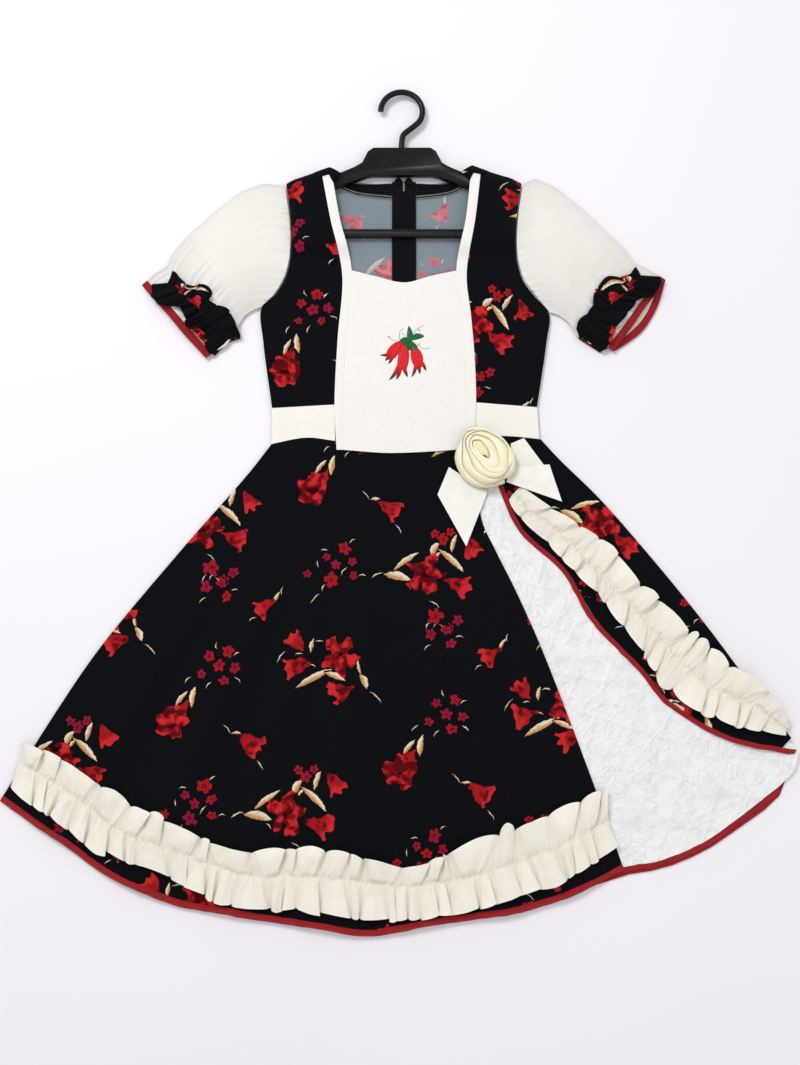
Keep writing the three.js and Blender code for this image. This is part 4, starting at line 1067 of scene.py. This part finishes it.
def across_sleeve(side, sign, top, foot, bow, q):
    seam = SEAMS[side]
    chord = lerp(seam.at(0.0), seam.at(1.0), q[:, None])
    spot = lerp(top, foot, q[:, None]) + bow[:, None] * (seam.at(q) - chord)
    reach = foot - top
    length = np.linalg.norm(reach, axis=1)
    return spot, sign * turned(reach) / length[:, None]


def sleeve_folds(place, q, seed):
    """Gathers at the cap and at the elastic, and long soft folds between them."""
    waver = 0.6 * np.sin(9 * q + seed) + 0.35 * np.sin(23 * q + 2 * seed)
    cap = 1.25 * np.sin(2 * math.pi * (15 * q + waver) + 0.5 * place) * np.exp(-place / 1.1)
    cuff = 1.1 * np.sin(2 * math.pi * (12 * q - waver)) * smooth((place - 3.1) / 1.6)
    long = 1.2 * ripple(place * 26, q * 150, 62, seed) * smooth(place / 1.2)
    return (cap + cuff + long) * np.sin(math.pi * np.clip(q, 0, 1)) ** 0.4


def round_tube(u):
    """Where a point round the tube lies across it, and whether it is on the upper face."""
    over = u < 0.5
    part = np.where(over, u * 2, 2 - u * 2)
    return (1 - np.cos(math.pi * part)) / 2, over


def sleeve_tube(name, side, sign, rows, finish, stands_for, down, seed, folds=True, wall=1.0):
    first, last = rows

    def shape(u, v):
        q, over = round_tube(u)
        place = lerp(first, last, v)
        top, foot, bow, high, lift, under = section_at(side, np.minimum(place, LAST_ROW))
        spot, out = across_sleeve(side, sign, top, foot, bow, q)
        beyond = np.maximum(0, place - LAST_ROW) * BINDING
        if first >= LAST_ROW:
            beyond = beyond + 0.9 * ripple(q * 110, 0 * q, 46, seed) * np.sin(math.pi * q)
        middle = 3.0
        dome = np.sin(math.pi * q) ** 0.62
        rise = lift + middle + (high - middle) * dome
        if folds:
            rise = rise + sleeve_folds(place, q, seed)
        sink = lift + middle * (1 - smooth(np.minimum(q, 1 - q) / 0.05))
        slack = np.where(over, 0, under * np.sin(math.pi * q))
        x, y = (spot + out * (beyond + slack)[:, None]).T
        return np.stack([x, y, np.where(over, np.maximum(rise, sink + 1.6), sink)], -1)

    piece = grid(name, 180, down, shape, cloth=lambda u, v: np.stack([u * 420, v * 190], -1), ring=True)
    dress(piece, finish, stands_for, wall=wall)
    return piece


for side, sign in SIDES:
    sleeve = sleeve_tube(f"sleeve_{side}_cloth", side, sign, (0, LAST_ROW), CREAM,
                         [f"sleeve_{side}"], 70, 5 + sign)
    cut_cloth(sleeve, size=(0.40, 0.22))
    cuff = sleeve_tube(f"cuff_{side}_roll", side, sign, (LAST_ROW + 0.02, LAST_ROW + 1), RED_BIAS,
                       [f"cuff_binding_{side}"], 5, 9, folds=False, wall=0.8)
    cut_cloth(cuff, size=(0.27, 0.014))

# %% [markdown]
# Over the elastic each sleeve wears a ruffle of the print: a band shirred along its middle, so that both its
# edges stand off in big lobes. It is a ring, pressed flat as the sleeve is. Its upper face is drawn between
# three lines of the plan, the edge towards the shoulder, the shirring, and the edge towards the hand, and
# folds as the other ruffles do. Its lower face lies flat under the sleeve.

# %% The printed frills
FRILLS = {
    "left": [
        [[-281, 333], [-268, 313], [-255, 307], [-248, 311], [-236, 305], [-231, 296], [-236, 288], [-227, 283],
         [-213, 278], [-204, 264], [-198, 252], [-189, 245]],
        [[-289, 314], [-263, 294], [-240, 272], [-224, 255], [-213, 237]],
        [[-315, 311], [-301, 286], [-288, 280], [-273, 279], [-265, 268], [-262, 254], [-250, 245], [-241, 235],
         [-234, 213]]],
    "right": [
        [[291, 337], [283, 321], [270, 319], [259, 319], [249, 310], [240, 298], [238, 285], [230, 273],
         [221, 264], [215, 246]],
        [[300, 325], [284, 304], [263, 288], [252, 270], [243, 252], [232, 234]],
        [[327, 321], [318, 302], [308, 292], [297, 290], [286, 279], [278, 268], [268, 257], [262, 243],
         [253, 220]]],
}


def frill(side, seed):
    chance = np.random.default_rng(seed)
    rows = [fold_row(chance, count) for count in (8, 9)]
    inner, shirr, outer = (Edge(marks) for marks in FRILLS[side])

    def shape(u, v):
        q, over = round_tube(u)
        side_of = 2 * v - 1
        loose = np.abs(side_of) ** 1.2
        above, below = (in_folds(row, q, loose) for row in rows)
        along, push, stand, lobe, out, _ = (np.where(side_of < 0, a, b) for a, b in zip(above, below))
        inside = np.sin(math.pi * q)
        along = np.where(over, np.clip(along, 0, 1), q)
        rim = lerp(outer.at(along), inner.at(along), (side_of < 0)[:, None])
        round_off = lerp(0.7, 1, smooth(inside / 0.3))
        swell = np.where(over, 0.10 * (lobe ** 0.5 - 0.75) + 0.04 * out, -0.05)
        reach = loose * round_off * (1 + swell * loose * inside ** 0.3)
        spot = lerp(shirr.at(along), rim, reach[:, None])
        spot = spot + (4.0 * push * loose * over * inside ** 0.5)[:, None] * shirr.heading(along)
        x, y = spot.T
        puff = 5.0 * stand * smooth(loose / 0.25) + 1.2 * np.exp(-((loose / 0.25) ** 2)) * np.abs(np.sin(60 * q))
        edge = inside ** 0.4
        rise = 3.0 + 8.4 * edge + puff * lerp(0.25, 1, edge)
        return np.stack([x, y, np.where(over, rise, 0.5 + 0.5 * (1 - loose))], -1)

    piece = grid(f"frill_{side}_cloth", 400, 30, shape, cloth=lambda u, v: np.stack([u * 460, v * 78], -1), ring=True)
    dress(piece, FRILL_PRINT, [f"sleeve_frill_{side}"], wall=0.7)
    cut_cloth(piece, size=(0.40, 0.075))


frill("left", 51)
frill("right", 52)

# %% [markdown]
# The hanger is injection moulded: a body with two arms whose edges carry a raised rim round a thinner web, a
# trouser bar, and a swivel hook. The hook is a round section swept along a path, so it is drawn as a curve
# with thickness and then made a mesh. The body is an outline that is filled, extruded, inset and sunk.

# %% The hanger
PLASTIC, shader, w = new_finish("black plastic")
place = w.add("TexCoord").outputs["Object"]
shade = w.colour(w.noise(place, 18.0, 3.0), srgb(7, 8, 10), srgb(13, 15, 17))
scuffs = w.noise(w.vector("MULTIPLY", place, (1.0, 5.0, 1.0)), 60.0, 4.0, 0.6)
w.plug(shader, {"Base Color": shade, "Roughness": w.ramp(scuffs, 0.35, 0.7, 0.26, 0.46),
                "Normal": w.bump(w.math("MULTIPLY", w.noise(place, 1400.0, 1.0), 0.00008), 0.5),
                "Specular IOR Level": 0.2})

HANGER_BASE = 3.6
HANGER_THICK = 8.6
HOOK = {"x": 2, "y": 541, "radius": 26.5, "tip": 178, "turn": -35}
rod_height = HANGER_BASE + HANGER_THICK / 2
turns = np.radians(np.linspace(HOOK["tip"], HOOK["turn"], 30))
path = [[HOOK["x"] + HOOK["radius"] * math.cos(turn), HOOK["y"] + HOOK["radius"] * math.sin(turn), rod_height]
        for turn in turns]
path += [[13, 516.5, rod_height], [4.5, 510.5, rod_height], [2, 505, rod_height], [2, 490, rod_height]]
bpy.ops.object.select_all(action="DESELECT")
bpy.ops.curve.primitive_nurbs_path_add()
hook = bpy.context.object
hook.name = "hook_rod"
hook.data.splines.clear()
spline = hook.data.splines.new("NURBS")
spline.points.add(len(path) - 1)
for point, spot in zip(spline.points, in_frame(path)):
    point.co = (*spot, 1)
spline.use_endpoint_u = True
spline.order_u = 4
hook.data.bevel_depth = 3.7 * MM
hook.data.bevel_resolution = 6
hook.data.use_fill_caps = True
hook.data.resolution_u = 4
bpy.ops.object.convert(target="MESH")
hook = bpy.context.object
hook.location = (0, 0, 0)
dress(hook, PLASTIC, ["hanger_hook"])


def moulded(name, outline, low, high, rim, sunk, stands_for):
    """A flat moulding: the outline filled and extruded, with a sunk web inside a rim."""
    piece = primitive(name, bpy.ops.mesh.primitive_circle_add, vertices=len(outline), radius=1)
    spots = in_frame([[x, y, low] for x, y in outline])
    piece.data.vertices.foreach_set("co", spots.ravel())
    edit(piece, (bpy.ops.mesh.edge_face_add, {}),
         (bpy.ops.mesh.extrude_region_move, {"TRANSFORM_OT_translate": {"value": (0, 0, (high - low) * MM)}}),
         (bpy.ops.mesh.inset, {"thickness": rim * MM}),
         (bpy.ops.transform.translate, {"value": (0, 0, -sunk * MM)}),
         (bpy.ops.mesh.select_all, {"action": "SELECT"}),
         (bpy.ops.mesh.normals_make_consistent, {"inside": False}))
    apply_modifier(piece, "BEVEL", width=0.7 * MM, segments=3, limit_method="ANGLE", angle_limit=math.radians(40))
    dress(piece, PLASTIC, stands_for)


def mirrored(half):
    """The right half of an outline, and the same points on the left in turn."""
    right = [[HANGER_CENTRE + x, y] for x, y in half]
    left = [[HANGER_CENTRE - x, y] for x, y in reversed(half)]
    return right + left


arm = [[38, 453], [44, 451.5], [124, 421.5], [128, 430], [122, 436.5], [60, 464], [50, 470], [43, 485], [36, 490]]
moulded("hanger_shell", mirrored(arm), HANGER_BASE, HANGER_BASE + HANGER_THICK, 2.6, 1.8, ["hanger_body"])
bar = [[114, 372], [122, 380], [122, 420.6], [113, 423.6], [113, 386], [109, 382]]
moulded("trouser_bar", mirrored(bar), HANGER_BASE, HANGER_BASE + HANGER_THICK - 2, 2.0, 1.0, ["hanger_bar"])

# %% [markdown]
# The rose at the waist is one long strip of stiff satin, coiled round itself in long ovals. Each turn has a
# lip that stands up, and slopes out and down from it under the lip of the next turn, like tiles of a roof
# that runs down from the heart. Between the lips lie narrow valleys, which look yellower because the light
# there has been thrown from satin to satin; the finish paints that in, as painted shade and reflected light
# of a darker yellow in each valley. So it is a grid whose long side follows a widening spiral, and
# whose short side climbs the lip and runs down the slope.

# %% The rose
def satin_finish(name, first, second, painted_valley_shade=None):
    finish, shader, w = new_finish(name)
    place = cloth_place(w)
    weave = woven(w, place, 0.0004, 0.012, 0.0008)
    cloud = w.noise(place, 60.0, 3.0)
    colour = w.colour(w.ramp(cloud, 0.3, 0.7), first, second)
    if painted_valley_shade:  # the map runs along the strip and then from its lip, at 9 mm, to its hidden edge
        # Painted shade and reflected light in the valleys between the lips, left out where a lip lies smooth.
        along, from_lip, _ = w.add("SeparateXYZ", {0: place}).outputs
        smooth_side = w.math("MULTIPLY", w.ramp(along, 0.252, 0.262), w.ramp(along, 0.289, 0.279))
        # foot is a painted shadow at the end of each slope, where it runs under the next lip.
        foot = w.math("MULTIPLY", w.ramp(from_lip, 0.025, 0.034, 0.0, 0.7), w.math("SUBTRACT", 1.0, smooth_side))
        # deep is where the painted shade and reflected light colour the valleys: the climb under each lip, and its
        # foot.
        deep = w.math("MAXIMUM", w.ramp(from_lip, 0.0095, 0.004), foot)
        colour = w.colour(deep, colour, painted_valley_shade[0])
        # Near the heart the painted valley shade turns orange.
        colour = w.colour(w.math("MULTIPLY", deep, w.ramp(along, 0.07, 0.01)), colour, painted_valley_shade[1])
    w.plug(shader, {"Base Color": colour, "Roughness": w.ramp(cloud, 0.3, 0.7, 0.36, 0.5),
                    "Normal": w.bump(weave.outputs["Height"], 0.5), "Sheen Weight": 0.3})
    return finish


# The last two colours are painted shade and reflected light for the valleys: yellow, and orange near the heart.
ROSE_SATIN = satin_finish("rose satin", srgb(255, 250, 230), srgb(253, 245, 216),
                          (srgb(241, 229, 162), srgb(238, 184, 100)))
RIBBON_SATIN = satin_finish("ribbon satin", srgb(249, 247, 241), srgb(242, 239, 230))
ROSE_TURNS = 5
ROSE_RINGS = {  # for each lip from the heart out: half length, half width, centre, height
    "turn": [0, 1, 2, 3, 4, 5, 6],
    "long": [4, 13, 24, 30, 33.5, 37, 41], "wide": [2.2, 5.5, 11, 20.5, 25.5, 32, 37.5],
    "x": [95, 98, 101.5, 106.5, 105, 103, 102], "y": [99.5, 96.5, 93.5, 93.5, 91, 88.5, 87],
    "z": [21.5, 22.8, 24.4, 25.8, 23.5, 18.5, 11.8],
}
ROSE_SLANT = math.radians(-52)


def rose_lip(turn):
    long, wide, x, y, z = (np.interp(turn, ROSE_RINGS["turn"], ROSE_RINGS[key])
                           for key in ("long", "wide", "x", "y", "z"))
    angle = 2 * math.pi * turn
    uneven = 1 + (0.05 * np.sin(3 * angle + 1.1 * turn) + 0.03 * np.sin(5 * angle + 2.3 * turn)) * smooth(turn / 2)
    px, py = long * uneven * np.cos(angle), wide * uneven * np.sin(angle)
    x = x + px * math.cos(ROSE_SLANT) - py * math.sin(ROSE_SLANT)
    y = y + px * math.sin(ROSE_SLANT) + py * math.cos(ROSE_SLANT)
    return np.stack([x, y], -1), z + 0.7 * np.sin(2 * angle + 2.6 * turn)


def lip_stands(turn):
    """Whether the lip stands up here. It dies away where a petal ends, and on one side lies smooth for long."""
    return np.interp(turn, [0.3, 0.5, 0.8, 1.0, 1.6, 1.8, 2.0, 2.2, 3.0, 3.1, 4.0, 4.12, 4.35, 4.47, 5.1, 5.3],
                     [1, 0.1, 0.1, 1, 1, 0.2, 0.2, 1, 0.8, 1, 1, 0, 0, 1, 1, 0.3])


def rose_shape(u, v):
    turn = u * ROSE_TURNS
    (lip, lip_z), (after, after_z) = rose_lip(turn), rose_lip(turn + 1)
    here, there = lip_stands(turn), lip_stands(turn + 1)
    out = after - lip
    run = np.linalg.norm(out, axis=1)
    climb = 1 - np.clip(v / 0.28, 0, 1)
    slope = np.clip((v - 0.28) / 0.72, 0, 1)
    tucked = 1 - 0.6 * smooth((turn - ROSE_TURNS + 0.45) / 0.45)
    away = tucked * slope * (run - 0.6 * there) - 1.0 * climb ** 1.5
    spot = lip + out * (away / run)[:, None]
    z = lip_z - lerp(0.8, 3.8, here) * climb ** 1.2 - (lip_z - after_z + 3.8 * there) * slope ** 2.2
    return np.stack([*spot.T, z + 0.3 * np.sin(math.pi * slope)], -1)


rose = dress(grid("rose_strip", 520, 26, rose_shape, cloth=lambda u, v: np.stack([u * 420, v * 35], -1)), ROSE_SATIN,
             ["rose"], wall=0.7)
cut_cloth(rose, size=(0.40, 0.035))

HEART_SATIN = satin_finish("heart satin", srgb(255, 248, 216), srgb(248, 226, 158))


def cushion(name, centre, sizes, finish):
    """A small stuffed oval of satin."""
    pad = primitive(name, bpy.ops.mesh.primitive_uv_sphere_add, segments=40, ring_count=20, radius=1)
    edit(pad, (bpy.ops.transform.resize, {"value": tuple(size * MM for size in sizes)}),
         (bpy.ops.transform.rotate, {"value": -ROSE_SLANT, "orient_axis": "Z"}),
         (bpy.ops.transform.translate, {"value": tuple(in_frame(centre))}))
    pad.data.uv_layers[0].name = "cloth"
    dress(pad, finish)


cushion("rose_pad", [103, 86, 10.3], (30, 27, 3.2), RIBBON_SATIN)
cushion("rose_heart", [96.5, 98, 20.2], (9.5, 5.2, 3.0), HEART_SATIN)

# %% [markdown]
# Two leaves and a tail of flat ribbon come out from under the rose. Their cut edges are straight and their
# corners sharp, so each is a grid between four straight lines. The lower leaf laps over the upper one.

# %% The ribbons
def ribbon(name, first, second, third, fourth, lift, ridge, stands_for):
    """A flat end of ribbon between four corners, with a soft fold along it."""
    plan = four_sided(straight(first, second), straight(second, third), straight(fourth, third),
                      straight(first, fourth))

    def shape(u, v):
        x, y = plan(u, v).T
        fold = ridge * np.exp(-(((v - 0.5 - 0.2 * u) / 0.16) ** 2)) * smooth(u / 0.3) * smooth((1 - u) / 0.2)
        wave = 0.35 * ripple(x, y, 34, 37)
        under = np.maximum(skirt_low(x, y) + CLOTH, FRONT + DOUBLE)
        return np.stack([x, y, under + 1.5 + lift + fold + np.abs(wave)], -1)
    piece = dress(grid(name, 40, 30, shape), RIBBON_SATIN, [stands_for], wall=0.7)
    cut_cloth(piece)


ribbon("tail_ribbon", [59, 79], [45, 45], [79, -18], [105, 48], 0.6, 0.8, "rose_tail")
ribbon("upper_leaf_ribbon", [134, 108], [150, 115], [176, 78], [136, 74], 0, 0.6, "rose_leaf_upper")
ribbon("lower_leaf_ribbon", [132, 79], [180, 81.5], [194, 36], [128, 60], 2.6, 1.2, "rose_leaf_lower")

# %% [markdown]
# The back of the skirt lies under everything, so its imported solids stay. They only get the same print and
# the same red as the front, read from the place in the frame instead of a cloth map.

# %% The back of the skirt
BACK_PRINT = print_cotton("printed back cotton", (PLAN_X, PLAN_Y), rumple=0.05, on_surface=False)
BACK_RED = cloth_finish("red bias of the back", RED_DYE, rough=0.5, thread=0.0004, rumple=0.006, depth=0.0004,
                        sheen=0.05, shine=0.25, contrast=0.12, on_surface=False)
for node, finish in (("skirt_back", BACK_PRINT), ("skirt_back_binding", BACK_RED)):
    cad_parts[node].data.materials.clear()
    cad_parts[node].data.materials.append(finish)

# %% [markdown]
# Sewing shows as rows of small stitches, and the embroidery as smooth satin stitch. A row is a thread that
# comes up and goes down again at every stitch, so it is a narrow strip along its seam whose height rises
# over the cloth and dips under it in turn.

# %% Threads
THREAD_WIDTH = 0.0007


def thread_finish(name, first, second, tip=None):
    finish, shader, w = new_finish(name)
    place = cloth_place(w)
    along, across, _ = w.add("SeparateXYZ", {0: place}).outputs
    slanted = w.math("ADD", along, w.math("MULTIPLY", w.math("ABSOLUTE", across), 0.5))
    threads = w.math("SINE", w.math("MULTIPLY", slanted, 2 * math.pi / THREAD_WIDTH))
    cloud = w.noise(w.vector("MULTIPLY", place, (1.0, 0.3, 1.0)), 900.0, 2.0)
    colour = w.colour(w.ramp(cloud, 0.35, 0.65), first, second)
    if tip:  # the map runs 30 mm from the root of a petal to its tip
        colour = w.colour(w.ramp(w.math("MULTIPLY_ADD", cloud, 0.008, along), 0.025, 0.034), colour, tip)
    w.plug(shader, {"Base Color": colour, "Roughness": w.ramp(cloud, 0.3, 0.7, 0.4, 0.55),
                    "Normal": w.bump(w.math("MULTIPLY", threads, 0.00012), 0.6), "Specular IOR Level": 0.25})
    return finish


PALE_THREAD = thread_finish("overlock thread", srgb(226, 226, 220), srgb(176, 178, 176))
RED_THREAD = thread_finish("red embroidery", srgb(222, 24, 30), srgb(184, 12, 22), srgb(96, 26, 24))
GREEN_THREAD = thread_finish("green embroidery", srgb(34, 116, 62), srgb(14, 70, 36), srgb(12, 60, 32))
GREY_GREEN_THREAD = thread_finish("tendril thread", srgb(150, 166, 140), srgb(120, 140, 112))


def sewn(piece, finish):
    piece.data.materials.clear()
    piece.data.materials.append(finish)
    select_only(piece)
    bpy.ops.object.shade_smooth()
    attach(piece, "root")
    return piece


def stitches(name, edge, height, pitch, width, rise, finish, swing=0.0):
    """A row of stitches along an edge of the plan. swing makes it a zigzag of that width."""
    count = max(2, int(edge.length / pitch))

    def shape(u, v):
        spot = edge.at(u)
        beat = u * count
        side = (v - 0.5) * width + swing * (2 * np.abs(2 * np.mod(beat, 1) - 1) - 1)
        x, y = (spot + side[:, None] * turned(edge.heading(u))).T
        up = 1 - 0.4 * np.abs(np.cos(2 * math.pi * beat)) if swing else np.abs(np.sin(math.pi * beat)) ** 0.5
        z = height(x, y) + 1.1 * rise * up * np.cos(math.pi * (v - 0.5)) - (0.05 if swing else 0.25)
        return np.stack([x, y, z], -1)
    sewn(grid(name, count * 6, 3, shape, cloth=lambda u, v: np.stack([u * edge.length, v], -1)), finish)


# %% [markdown]
# The bindings are stitched along their inner side. The facing's raw edge is overlocked with a pale zigzag in
# two rows.

# %% Rows of stitches
THREAD_RED = thread_finish("red thread", srgb(120, 12, 20), srgb(96, 8, 14))
for name, edge, aside in (("hem", HEM, HEM_ROLL - 0.6), ("slit", SLIT_RIGHT, -2.6),
                          ("lace", UNDER_HEM, LACE_ROLL - 1.0)):
    base = (lambda x, y: 0 * x + ON_BACK + 1.2) if name == "lace" else (lambda x, y: skirt_low(x, y) + 1.5)
    stitches(f"{name}_binding_stitches", edge.beside(aside), base, pitch=2.8, width=0.5, rise=0.25, finish=THREAD_RED)

for side, sign in SIDES:
    lower = facing_edge(side, sign, FACING_LOWER)
    for k, inward in enumerate((0.3, 3.4)):
        stitches(f"overlock_{side}_{k}", lower.beside(inward * sign), lambda x, y: 0 * x + ON_BACK + 1.1, pitch=2.2,
                 width=0.5, rise=0.3, finish=PALE_THREAD, swing=0.6)

# %% [markdown]
# The embroidery on the bib is a spray of three bell flowers that hang from their stalks, with three petals
# each, leaves above them and thin curled tendrils. A petal is a domed grid that closes at both ends. All
# petals of one thread are joined to one piece.

# %% The embroidered spray
def petal(root, tip, width, bend=0.0, high=1.1, dyed=(0, 24)):
    """A satin stitched petal from its root to its tip, bowed sideways by a share of its length.

    dyed says which stretch of the thread's own 34 mm it is worked in; the last of them are dark."""
    root, tip = np.array(root, float), np.array(tip, float)
    reach = tip - root
    beside = turned(reach)

    def shape(u, v):
        half = width / 2 * np.sin(math.pi * np.clip(u * 0.96 + 0.02, 0, 1)) ** 0.75
        spot = root + u[:, None] * reach + (bend * np.sin(math.pi * u))[:, None] * beside
        spot = spot + ((2 * v - 1) * half)[:, None] * beside / np.linalg.norm(beside)
        x, y = spot.T
        dome = (1 - (2 * v - 1) ** 2) * np.sin(math.pi * u) ** 0.4
        return np.stack([x, y, bodice_top(x, y, BIB_WALL) - 0.1 + high * dome], -1)
    return grid("petal", 16, 8, shape, cloth=lambda u, v: np.stack([lerp(*dyed, u), (v - 0.5) * 8], -1))


def joined(name, parts, finish):
    bpy.ops.object.select_all(action="DESELECT")
    for part in parts:
        part.select_set(True)
    bpy.context.view_layer.objects.active = parts[0]
    bpy.ops.object.join()
    piece = bpy.context.object
    piece.name = piece.data.name = name
    return sewn(piece, finish)


TIP = (12, 36)
joined("embroidered_bells", [
    petal((3, 239), (-13, 212), 10, 0.0, 1.5), petal((2, 239), (-18, 217), 7.5, -0.06),
    petal((-7, 225), (-24.5, 220), 4.2, 0.10, 1.0, TIP), petal((-8, 222), (-18.5, 213), 4.2, 0.0, 1.5, TIP),
    petal((-6, 222), (-14, 209), 4.2, 0.0, 1.2, TIP),
    petal((6, 237), (-1, 196), 11, 0.0, 1.5), petal((8, 236), (5, 197), 10, 0.0, 1.4),
    petal((-2, 210), (-13.5, 188), 5, 0.10, 1.2, TIP), petal((1, 209), (-4.5, 189), 5, 0.06, 1.6, TIP),
    petal((5, 209), (9.5, 192), 4.6, -0.06, 1.2, TIP),
    petal((16, 234), (21, 202), 11.5, 0.0, 1.5), petal((17, 233), (26, 204), 9.5, 0.06, 1.3),
    petal((19, 213), (14.5, 192), 4.6, 0.08, 1.2, TIP), petal((22, 212), (24.5, 196), 4.6, 0.0, 1.6, TIP),
    petal((26, 214), (32, 200), 4.4, 0.0, 1.2, TIP),
], RED_THREAD)
joined("embroidered_leaves", [
    petal((11, 231), (11, 257.5), 8, -0.05, 1.5), petal((12, 240), (30, 244.5), 8.5, 0.10, 1.3),
    petal((9, 243), (4, 230), 6.5, 0.0, 1.6), petal((8, 243), (-1, 237), 6, 0.06, 1.5),
    petal((10, 240), (7.5, 226), 4, 0.0, 1.7),
    petal((11, 240), (11.5, 226), 4, 0.0, 1.8), petal((12, 238), (16, 221.5), 5, 0.0, 1.7),
    petal((13, 238), (21.5, 223.5), 6, 0.06, 1.6), petal((12, 246), (13, 228), 6, 0.0, 1.7),
], GREEN_THREAD)


def tendril(marks):
    edge = Edge(marks)

    def shape(u, v):
        x, y = (edge.at(u) + ((v - 0.5) * 0.8)[:, None] * turned(edge.heading(u))).T
        return np.stack([x, y, bodice_top(x, y, BIB_WALL) - 0.1 + 0.5 * np.cos(math.pi * (v - 0.5))], -1)
    return grid("tendril", max(8, int(edge.length)), 4, shape, cloth=lambda u, v: np.stack([u * edge.length, v], -1))


joined("embroidered_tendrils", [
    tendril([[-3, 238], [-7, 239], [-13, 242], [-15, 245], [-12, 243]]), tendril([[7, 245], [2, 248]]),
    tendril([[-1, 240], [0, 250], [3, 254], [4, 252]]), tendril([[16, 248], [22, 254], [29, 258]]),
    tendril([[22, 254], [25, 251], [22, 251.5]]), tendril([[21, 235], [23, 232], [30, 228], [37, 230]]),
    tendril([[23, 232], [24, 236]]),
], GREY_GREEN_THREAD)

# %% [markdown]
# At the top of the placket the two tapes of the zip end in small rounded tabs, with the first teeth between
# them.

# %% The end of the zip
def tab(x, turn):
    def shape(u, v):
        radius = 1 - np.clip(v, 0, 1)
        across = (u - 0.5) * 2 * 5.0 * np.sqrt(np.clip(1 - (v * 0.98) ** 3, 0, 1))
        along = 9 * v
        px = x + across * math.cos(turn) - along * math.sin(turn)
        py = 444 + across * math.sin(turn) + along * math.cos(turn)
        return np.stack([px, py, ON_BACK + 2.3 + 0.5 * np.sin(math.pi * u) + 0.2 * radius], -1)
    return grid("tab", 12, 12, shape)


tabs = joined("zip_tape_ends", [tab(MIDDLE - 6, 0.18), tab(MIDDLE + 5.5, -0.14)], BLACK_COTTON)
apply_modifier(tabs, "SOLIDIFY", thickness=0.5 * MM, offset=-1)
ZIP_METAL, shader, w = new_finish("zip teeth")
cloud = w.noise(w.add("TexCoord").outputs["Object"], 700.0, 2.0)
w.plug(shader, {"Base Color": w.colour(cloud, srgb(120, 122, 124), srgb(176, 176, 172)),
                "Roughness": w.ramp(cloud, 0.3, 0.7, 0.3, 0.5), "Metallic": 1.0})
teeth = primitive("zip_teeth", bpy.ops.mesh.primitive_cube_add, size=1)
edit(teeth, (bpy.ops.transform.resize, {"value": (2.6 * MM, 1.0 * MM, 0.7 * MM)}),
     (bpy.ops.transform.translate, {"value": tuple(in_frame([MIDDLE, 436.0, ON_BACK + 2.0]))}))
apply_modifier(teeth, "BEVEL", width=0.2 * MM, segments=2)
apply_modifier(teeth, "ARRAY", count=6, use_relative_offset=False, use_constant_offset=True,
               constant_offset_displace=(0, 1.9 * MM, 0))
teeth.data.uv_layers[0].name = "cloth"
sewn(teeth, ZIP_METAL)

# %% [markdown]
# The dress lies on its back on a pale surface and is seen from above, a little from below the hem. The
# camera stands at the distance that makes the hem as much wider than the shoulders as perspective does, and
# one wide soft light with a bright room gives the faint shadows of a product picture.

# %% Floor, light and camera
floor = primitive("floor", bpy.ops.mesh.primitive_plane_add, size=8, location=(0, 0, -0.0004))
floor_finish, shader, w = new_finish("pale floor")
cloud = w.noise(w.add("TexCoord").outputs["Object"], 1.2, 2.0)
w.plug(shader, {"Base Color": w.colour(w.ramp(cloud, 0.3, 0.7), srgb(229, 226, 232), srgb(233, 230, 235)),
                "Roughness": 0.7, "Specular IOR Level": 0.2})
floor.data.materials.append(floor_finish)

room = bpy.data.worlds.new("studio")
room.use_nodes = True
room.node_tree.nodes["Background"].inputs["Color"].default_value = (1, 1, 1, 1)
room.node_tree.nodes["Background"].inputs["Strength"].default_value = 0.74
bpy.context.scene.world = room


def soft_light(name, place, size, power):
    bpy.ops.object.light_add(type="AREA", location=place)
    lamp = bpy.context.object
    lamp.name = name
    lamp.data.shape = "DISK"
    lamp.data.size = size
    lamp.data.energy = power
    lamp.rotation_euler = (Vector((0, 0, 0)) - Vector(place)).to_track_quat("-Z", "Y").to_euler()


soft_light("window", (-1.0, 1.3, 2.1), 0.9, 34)
soft_light("fill", (1.4, -0.6, 2.2), 1.6, 8)

TILT = math.radians(10)
DISTANCE = 1.5
AIM = Vector((PLAN_X * MM, PLAN_Y * MM, 0))
bpy.ops.object.camera_add(location=AIM + DISTANCE * Vector((0, -math.sin(TILT), math.cos(TILT))),
                          rotation=(TILT, 0, 0))
camera = bpy.context.object
camera.data.lens = 42.25
camera.data.sensor_width = 36
bpy.context.scene.camera = camera
bpy.context.scene.view_settings.view_transform = "Standard"
print("camera at", [round(c, 3) for c in camera.location])
